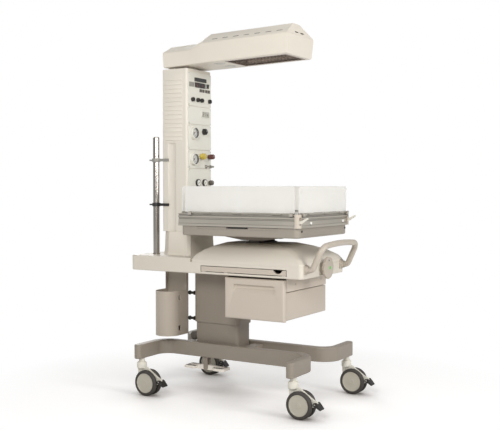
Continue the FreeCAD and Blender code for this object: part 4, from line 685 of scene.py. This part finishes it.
def piping(name, middle, half_x, half_y, z, radius, corner, finish, body):
    """Round cord laid in a rounded rectangle, in metres."""
    path = []
    for turn in range(4):
        cx = (half_x - corner) * (1 if turn in (0, 3) else -1)
        cy = (half_y - corner) * (1 if turn in (0, 1) else -1)
        for step in range(9):
            angle = math.radians(90 * turn + 90 * step / 8)
            x = middle.x + cx + corner * math.cos(angle)
            y = middle.y + cy + corner * math.sin(angle)
            path.append(Vector((x, y, z)))
    shape = bmesh.new()
    rings = []
    for index, point in enumerate(path):
        ahead = (path[(index + 1) % len(path)] - path[index - 1]).normalized()
        side = ahead.cross(Vector((0, 0, 1)))
        circle = []
        for k in range(8):
            turn = math.tau * k / 8
            out = side * math.cos(turn) + Vector((0, 0, math.sin(turn)))
            circle.append(shape.verts.new(point + radius * out))
        rings.append(circle)
    for index, circle in enumerate(rings):
        following = rings[(index + 1) % len(rings)]
        for k in range(8):
            shape.faces.new((circle[k], circle[(k + 1) % 8], following[(k + 1) % 8], following[k]))
    bmesh.ops.recalc_face_normals(shape, faces=shape.faces)
    return make_piece(name, [shape], finish, body, (), 60.0)


middle, half_x, half_y, height = make_mattress()
piping("mattress_piping", middle, half_x - 0.0022, half_y - 0.0022, middle.z + height * 0.62, 0.0022, 0.028,
       cover_cloth, "bassinet")

# %% [markdown]
# ## Controls on the column
# Five module plates carry displays, keys, gauges, valves and sockets. The plates, blocks and fittings are
# the CAD solids, sorted by where they are and given their own finishes. Glass, liquid crystal, dials,
# ticks, numerals and pointers are added on top.

# %% Plates, displays, keys and fittings

FRONT = 286.0
sorted_solids = {kind: [] for kind in ("plates", "frames", "crystal_frame", "keys", "dark_keys", "sockets",
                                       "dial_rims", "nipples", "selector")}
for shape, middle, size in solids_of("control_panels"):
    if size[0] > 150:
        kind = "plates"
    elif 1480 < middle[2] < 1520:
        kind = "sockets"
    elif middle[2] < 1100:
        kind = "dial_rims"
    elif middle[2] < 1200:
        kind = "nipples"
    elif 1330 < middle[2] < 1350:
        kind = "selector"
    elif size[0] > 30:
        kind = "frames" if middle[2] > 1500 else "crystal_frame"
    else:
        kind = "keys" if middle[2] > 1565 else "dark_keys"
    sorted_solids[kind].append(shape)
print({kind: len(shapes) for kind, shapes in sorted_solids.items()})
plates = make_piece("module_plates", sorted_solids["plates"], panel_sheet, "carriage",
                    ["control_panels"])
soften(plates, 0.8)
for kind, finish, slot, edge in (("frames", dark_moulding, "dark_plastic", 0.6),
                                 ("crystal_frame", panel_sheet, "panel_plastic", 0.6),
                                 ("keys", grey_moulding, "panel_plastic", 0.5),
                                 ("dark_keys", dark_moulding, "dark_plastic", 0.5),
                                 ("sockets", black_moulding, "dark_plastic", 0.5),
                                 ("dial_rims", black_moulding, "dark_plastic", 0.5),
                                 ("nipples", screw_steel, "lift_steel", 0.4),
                                 ("selector", black_moulding, "dark_plastic", 0.6)):
    soften(make_piece("control_" + kind, sorted_solids[kind], finish, "carriage"), edge)

membranes = []
for x0, x1, z0, z1 in ((-96, -52, 1568, 1592), (46, 63, 1568, 1592),
                       (-5, 43, 1545.5, 1562.5), (48, 94, 1545.5, 1562.5)):
    membranes.append(block((x0, FRONT - 0.6, z0), (x1, FRONT + 0.2, z1), 2.0))
make_piece("key_membranes", membranes, grey_moulding, "carriage")

GLASS_NEAR = FRONT - 3.5
GLASS_FAR = FRONT - 2.8
DIGITS = FRONT - 3.6
windows = []
for x0, x1, z0, z1 in ((-50, 58, 1598, 1618), (-47, 43, 1567, 1593)):
    windows.append(block((x0 + 2, GLASS_NEAR, z0 + 2), (x1 - 2, GLASS_FAR, z1 - 2), 1.5))
make_piece("display_windows", windows, display_glass, "carriage")
crystal = block((15, GLASS_NEAR, 1417), (81, GLASS_FAR, 1446), 1.5)
make_piece("crystal_window", [crystal], liquid_crystal, "carriage")
crystal_digits = numeral("21", 36, DIGITS, 1432, 17) + numeral("40", 66, DIGITS, 1429, 10)
make_piece("crystal_digits", crystal_digits, dark_moulding, "carriage")
display_digits = numeral("365", -24, DIGITS, 1580, 15) + numeral("120", 18, DIGITS, 1580, 11)
make_piece("display_digits", display_digits, red_moulding, "carriage")

# %% Gauge dials and knob pointers

dials = []
marks = []
for x, y, z, radius, labels in ((-60, 281.6, 1196, 26.8, True), (-60, 281.6, 1330, 26.8, True),
                                (-22, 275.6, 1074, 15.5, False), (38, 275.6, 1074, 15.5, False)):
    dials.append(turning([(y, 0), (y, radius), (y + 0.8, radius), (y + 0.8, 0)], "y", (x, 0, z), 64))
    tip = z + radius * 0.94
    for step in range(21):
        foot = z + radius * (0.94 - (0.2 if step % 5 == 0 else 0.1))
        tick = lambda: block((x - 0.35, y - 0.25, foot), (x + 0.35, y + 0.1, tip))
        marks.extend(ring(tick, (x, 0, z), "y", [-135 + 13.5 * step]))
    if labels:
        for number, angle in (("0", -135), ("2", -67), ("4", 0), ("6", 67), ("8", 135)):
            turn = math.radians(angle)
            across = x + radius * 0.6 * math.sin(turn)
            up = z + radius * 0.6 * math.cos(turn)
            marks.extend(numeral(number, across, y, up, 5.0))
    else:
        hand = lambda: block((x - 0.5, y - 0.6, z - 3), (x + 0.5, y - 0.1, z + radius * 0.75))
        marks.extend(ring(hand, (x, 0, z), "y", [-120]))
        marks.append(turning([(y - 0.9, 0), (y - 0.9, 2), (y, 2.4), (y, 0)], "y", (x, 0, z), 20))
make_piece("dial_faces", dials, dial_enamel, "carriage")
wells = []
for z in (1196, 1330):
    for near, far, inner, outer in ((268.3, 270.9, 25.2, 25.9), (272.7, 281.3, 26.6, 27.3)):
        wall = [(near, inner), (near, outer), (far, outer), (far, inner), (near, inner)]
        wells.append(turning(wall, "y", (-60, 0, z), 64))
make_piece("gauge_wells", wells, black_moulding, "carriage")
make_piece("dial_marks", marks, black_moulding, "carriage")
for knob, x, z, reach, length in (("oxygen_knob", 8, 1211, 30, 12), ("pressure_knob", 80, 1211, 34, 10),
                                  ("suction_knob", 88, 1074, 22, 10)):
    y = FRONT - reach
    pointer = block((x - 0.8, y - 0.3, z + 1), (x + 0.8, y + 0.4, z + length), 0.4)
    make_piece(knob + "_pointer", [pointer], white_moulding, knob)
selector_mark = block((33.2, FRONT - 22.3, 1341), (34.8, FRONT - 21.6, 1349), 0.4)
make_piece("selector_pointer", [selector_mark], white_moulding, "carriage")

# %% [markdown]
# ## Fixings and trim
# Screws, buttons, caps and dots are small, but they are what the eye counts on equipment of this kind. All
# of them sit a fraction of a millimetre into the face that carries them.

# %% Screws, buttons and trim

plate_screws = []
for low, high in ((1012, 1148), (1148, 1244), (1244, 1375), (1375, 1469), (1469, 1645)):
    for x in (-97, 97):
        for z in (low + 8, high - 8):
            plate_screws.append(screw((x, FRONT, z), "y", -1, 2.4, 1.0))
make_piece("plate_screws", plate_screws, screw_steel, "carriage")

runner_screws = [screw((x, -335.0, 588), "y", -1, 4.2, 1.8) for x in (-98, 171)]
runner_screws += [screw((x, -8.0, 588), "y", 1, 4.2, 1.8) for x in (-98, 171)]
make_piece("runner_screws", runner_screws, screw_steel, "carriage")

tray_screws = [screw((-262, y, 855.5), "x", -1, 3.2, 1.4) for y in (58, -255)]
make_piece("tray_screws", tray_screws, screw_steel, "xray_tray")
pan_screws = [screw((x, -434.5, 832), "y", -1, 3.0, 1.4) for x in (-198, 223)]
make_piece("pan_screws", pan_screws, screw_steel, "bassinet")
button = [(-446.5, 0), (-446.5, 5.5), (-445.5, 6.8), (-440, 6.8), (-440, 0)]
rail_buttons = [turning(button, "y", (x, 0, 884), 24) for x in (-151, 198)]
make_piece("rail_buttons", rail_buttons, white_moulding, "bassinet")
plug = [(-438, 0), (-438, 4), (-436.8, 5.4), (-432, 5.4), (-432, 0)]
pan_plugs = [turning(plug, "y", (x, 0, 847), 24) for x in (-226, 236)]
make_piece("pan_plugs", pan_plugs, black_moulding, "bassinet")

dot = turning([(-465.8, 0), (-465.8, 8), (-465.2, 8.6), (-463.5, 8.6), (-463.5, 0)], "y", (8, 0, 664), 40)
make_piece("tilt_knob_dot", [dot], green_moulding, "tilt_knob")
mark = turning([(-465.6, 0), (-465.6, 3.8), (-463.5, 4.0), (-463.5, 0)], "y", (-3, 0, 700), 24)
make_piece("tilt_knob_mark", [mark], black_moulding, "tilt_knob")

HANDLE_ENDS = (-190, 190)
lugs = [block((x - 19, -441.5, 646), (x + 19, -435.6, 690), 6.0, "y", 1.0) for x in HANDLE_ENDS]
make_piece("handle_lugs", lugs, handle_paint, "carriage")
collar = [(-453.5, 14.1), (-453.5, 17.8), (-450.5, 18.6), (-441, 18.6), (-441, 14.1)]
collars = [turning(collar, "y", (x, 0, 668), 40) for x in HANDLE_ENDS]
make_piece("handle_collars", collars, handle_paint, "carriage")

caps = []
for side in (-1, 1):
    x0, x1 = sorted((side * 99.6, side * 109.2))
    caps.append(block((x0, 356, 1278), (x1, 416, 1285.5), 2.0, "z"))
make_piece("channel_caps", caps, cream_paint, "carriage")

strips = {"panel_left": block((-264.4, -414, 924), (-255.6, 192, 931), 0, "y", 1.0),
          "panel_right": block((255.6, -414, 924), (264.4, 192, 931), 0, "y", 1.0),
          "panel_front": block((-248.5, -437, 925), (248.5, -428, 932), 0, "y", 1.0)}
for body, strip in strips.items():
    make_piece(body + "_foot", [strip], grey_moulding, body)

# %% [markdown]
# ## Vents, grip and treads
# The head's cover has a row of vent slots on each slope. Just inside each slot a black strip paints the
# shade of the dark space behind it. The x-ray tray has a black grip, and the pedal's two pads have rubber
# ribs.

# %% Painted vent shade, tray grip and pedal ribs

# The head's own numbers: half width and height of its crease, then of its ridge, and its lean.
CREASE, RIDGE, LEAN, SWIVEL = (138, 1768), (34, 1829), 1.3, (0, 369.75, 1670)
VENT_X, VENT_START, VENT_PITCH, VENT_COUNT = 104, -268, 62, 7
rise = (RIDGE[1] - CREASE[1]) / (CREASE[0] - RIDGE[0])
vent_z = CREASE[1] + (CREASE[0] - VENT_X) * rise
shade_strips = []
for side in (-1, 1):
    x = side * VENT_X
    for step in range(VENT_COUNT):
        y = VENT_START + VENT_PITCH * step
        # Each black strip is painted shade for the dark space inside the vent.
        shade_strip = block((x - 4.4, y + 0.2, vent_z - 2.6), (x + 4.4, y + 33.8, vent_z - 0.5))
        for angle, axis, place in ((side * math.atan(rise), "y", (x, 0, vent_z)),
                                   (-math.radians(LEAN), "x", SWIVEL)):
            turn = Matrix.Rotation(angle, 3, AXES[axis])
            bmesh.ops.rotate(shade_strip, cent=Vector(place) * MM, matrix=turn, verts=shade_strip.verts)
        shade_strips.append(shade_strip)
make_piece("painted_vent_shade", shade_strips, black_moulding, "head")

grip = block((-262.7, -160, 852.6), (-255, -52, 860.4), 1.5, "x", 0.6)
make_piece("xray_grip", [grip], black_moulding, "xray_tray")

ribs = []
for end in (69, 231):
    for step in range(6):
        y = end + 6 + step * 10
        ribs.append(block((-121, y, 136.6), (-55, y + 4, 138.6), 0, "y", 0.6))
make_piece("pedal_ribs", ribs, tyre_rubber, "height_pedal")

# %% [markdown]
# ## Heater
# Behind the grille a folded reflector backs two tube heaters. The reflector is polished metal, the tubes are
# dark ceramic.

# %% Reflector and tubes

reflector = []
tubes = []
for shape, middle, size in solids_of("heater_element"):
    (reflector if size[0] > 100 else tubes).append(shape)
make_piece("heater_reflector", reflector, heater_metal, "head", ["heater_element"])
make_piece("heater_tubes", tubes, dark_moulding, "head")

# %% [markdown]
# ## Studio and camera
# The floor and the background are white, and the light is large and soft, so that a colour renders about
# as it is written. The floor keeps the unit's shadow, and ambient occlusion paints a darker shadow near the
# parts close to it. Further out it fades into the background.

# %% Camera

camera_data = bpy.data.cameras.new("camera")
camera_data.sensor_width = 36.0
camera_data.lens = 62.28
camera_data.clip_end = 60.0
camera = bpy.data.objects.new("camera", camera_data)
camera.location = (-3.7349, -2.2872, 1.0508)
camera.rotation_euler = (math.radians(88.16), 0.0, math.radians(-58.74))
bpy.context.scene.collection.objects.link(camera)
bpy.context.scene.camera = camera
bpy.context.scene.view_settings.view_transform = "Standard"

# %% Floor


def make_floor():
    """A round floor with the lamps' shadows and a painted shadow near the unit, white like the background
    further out.
    """
    shape = bmesh.new()
    bmesh.ops.create_circle(shape, cap_ends=True, cap_tris=False, segments=96, radius=14.0)
    mesh = bpy.data.meshes.new("floor")
    shape.to_mesh(mesh)
    shape.free()
    finish = Finish("floor_paper", Roughness=0.9)
    tree = finish.tree
    # Ambient occlusion paints a brownish shadow where parts stand close to the floor.
    openness = finish.add("ShaderNodeAmbientOcclusion", {"samples": 8}, 1, Distance=0.25)
    open_floor = finish.add("ShaderNodeMapRange", Value=openness, From_Min=0.3, From_Max=0.97)
    paper_with_painted_shadow = finish.blend(open_floor, (0.30, 0.27, 0.25, 1), (0.89, 0.88, 0.87, 1))
    finish.feed("Base Color", paper_with_painted_shadow)
    distance = finish.add("ShaderNodeVectorMath", {"operation": "LENGTH"}, 1, i0=finish.place())
    far = finish.add("ShaderNodeMapRange", Value=distance, From_Min=0.7, From_Max=1.5)
    rays = finish.add("ShaderNodeLightPath")
    glossy = finish.add("ShaderNodeLightPath", output=3)
    glow = finish.add("ShaderNodeEmission", Color=(1, 1, 1, 1), Strength=1.0)
    lift = finish.add("ShaderNodeEmission", Color=paper_with_painted_shadow, Strength=0.31)
    lit = finish.add("ShaderNodeAddShader", i0=Signal(tree, finish.shader.outputs[0]), i1=lift)
    near = finish.add("ShaderNodeMixShader", i0=rays, i1=Signal(tree, finish.shader.outputs[0]), i2=lit)
    seen = finish.add("ShaderNodeMixShader", i0=far * rays.maths("MAXIMUM", rays, glossy), i1=near, i2=glow)
    tree.links.new(seen.socket, tree.nodes["Material Output"].inputs["Surface"])
    mesh.materials.append(finish.material)
    floor = bpy.data.objects.new("floor", mesh)
    bpy.context.scene.collection.objects.link(floor)


make_floor()

# %% Light


def lamp(name, place, aim, size, power):
    """Large soft lamp that looks at a point."""
    data = bpy.data.lights.new(name, "AREA")
    data.shape = "DISK"
    data.size = size
    data.energy = power
    light = bpy.data.objects.new(name, data)
    light.location = place
    light.rotation_euler = (Vector(aim) - Vector(place)).to_track_quat("-Z", "Y").to_euler()
    bpy.context.scene.collection.objects.link(light)


lamp("key", (-3.8, -1.3, 2.5), (0.0, 0.0, 1.2), 1.5, 92.0)
lamp("front", (-0.4, -4.3, 2.2), (0.0, 0.0, 1.1), 1.6, 80.0)
lamp("top", (0.2, 0.4, 4.4), (0.0, 0.0, 0.6), 2.4, 8.0)
lamp("rear", (2.9, 3.6, 2.6), (0.0, 0.0, 1.0), 2.0, 50.0)

world = bpy.data.worlds.new("studio")
world.use_nodes = True
bpy.context.scene.world = world
sky = world.node_tree
paths = sky.nodes.new("ShaderNodeLightPath")
shown = sky.nodes.new("ShaderNodeMath")
shown.operation = "MULTIPLY_ADD"
sky.links.new(paths.outputs["Is Glossy Ray"], shown.inputs[0])
shown.inputs[1].default_value = 0.3
sky.links.new(paths.outputs["Is Camera Ray"], shown.inputs[2])
level = sky.nodes.new("ShaderNodeMapRange")
level.inputs["To Min"].default_value = 0.34
level.inputs["To Max"].default_value = 1.0
sky.links.new(shown.outputs[0], level.inputs["Value"])
sky.links.new(level.outputs[0], sky.nodes["Background"].inputs["Strength"])
sky.nodes["Background"].inputs["Color"].default_value = (1, 1, 1, 1)
print("studio ready")
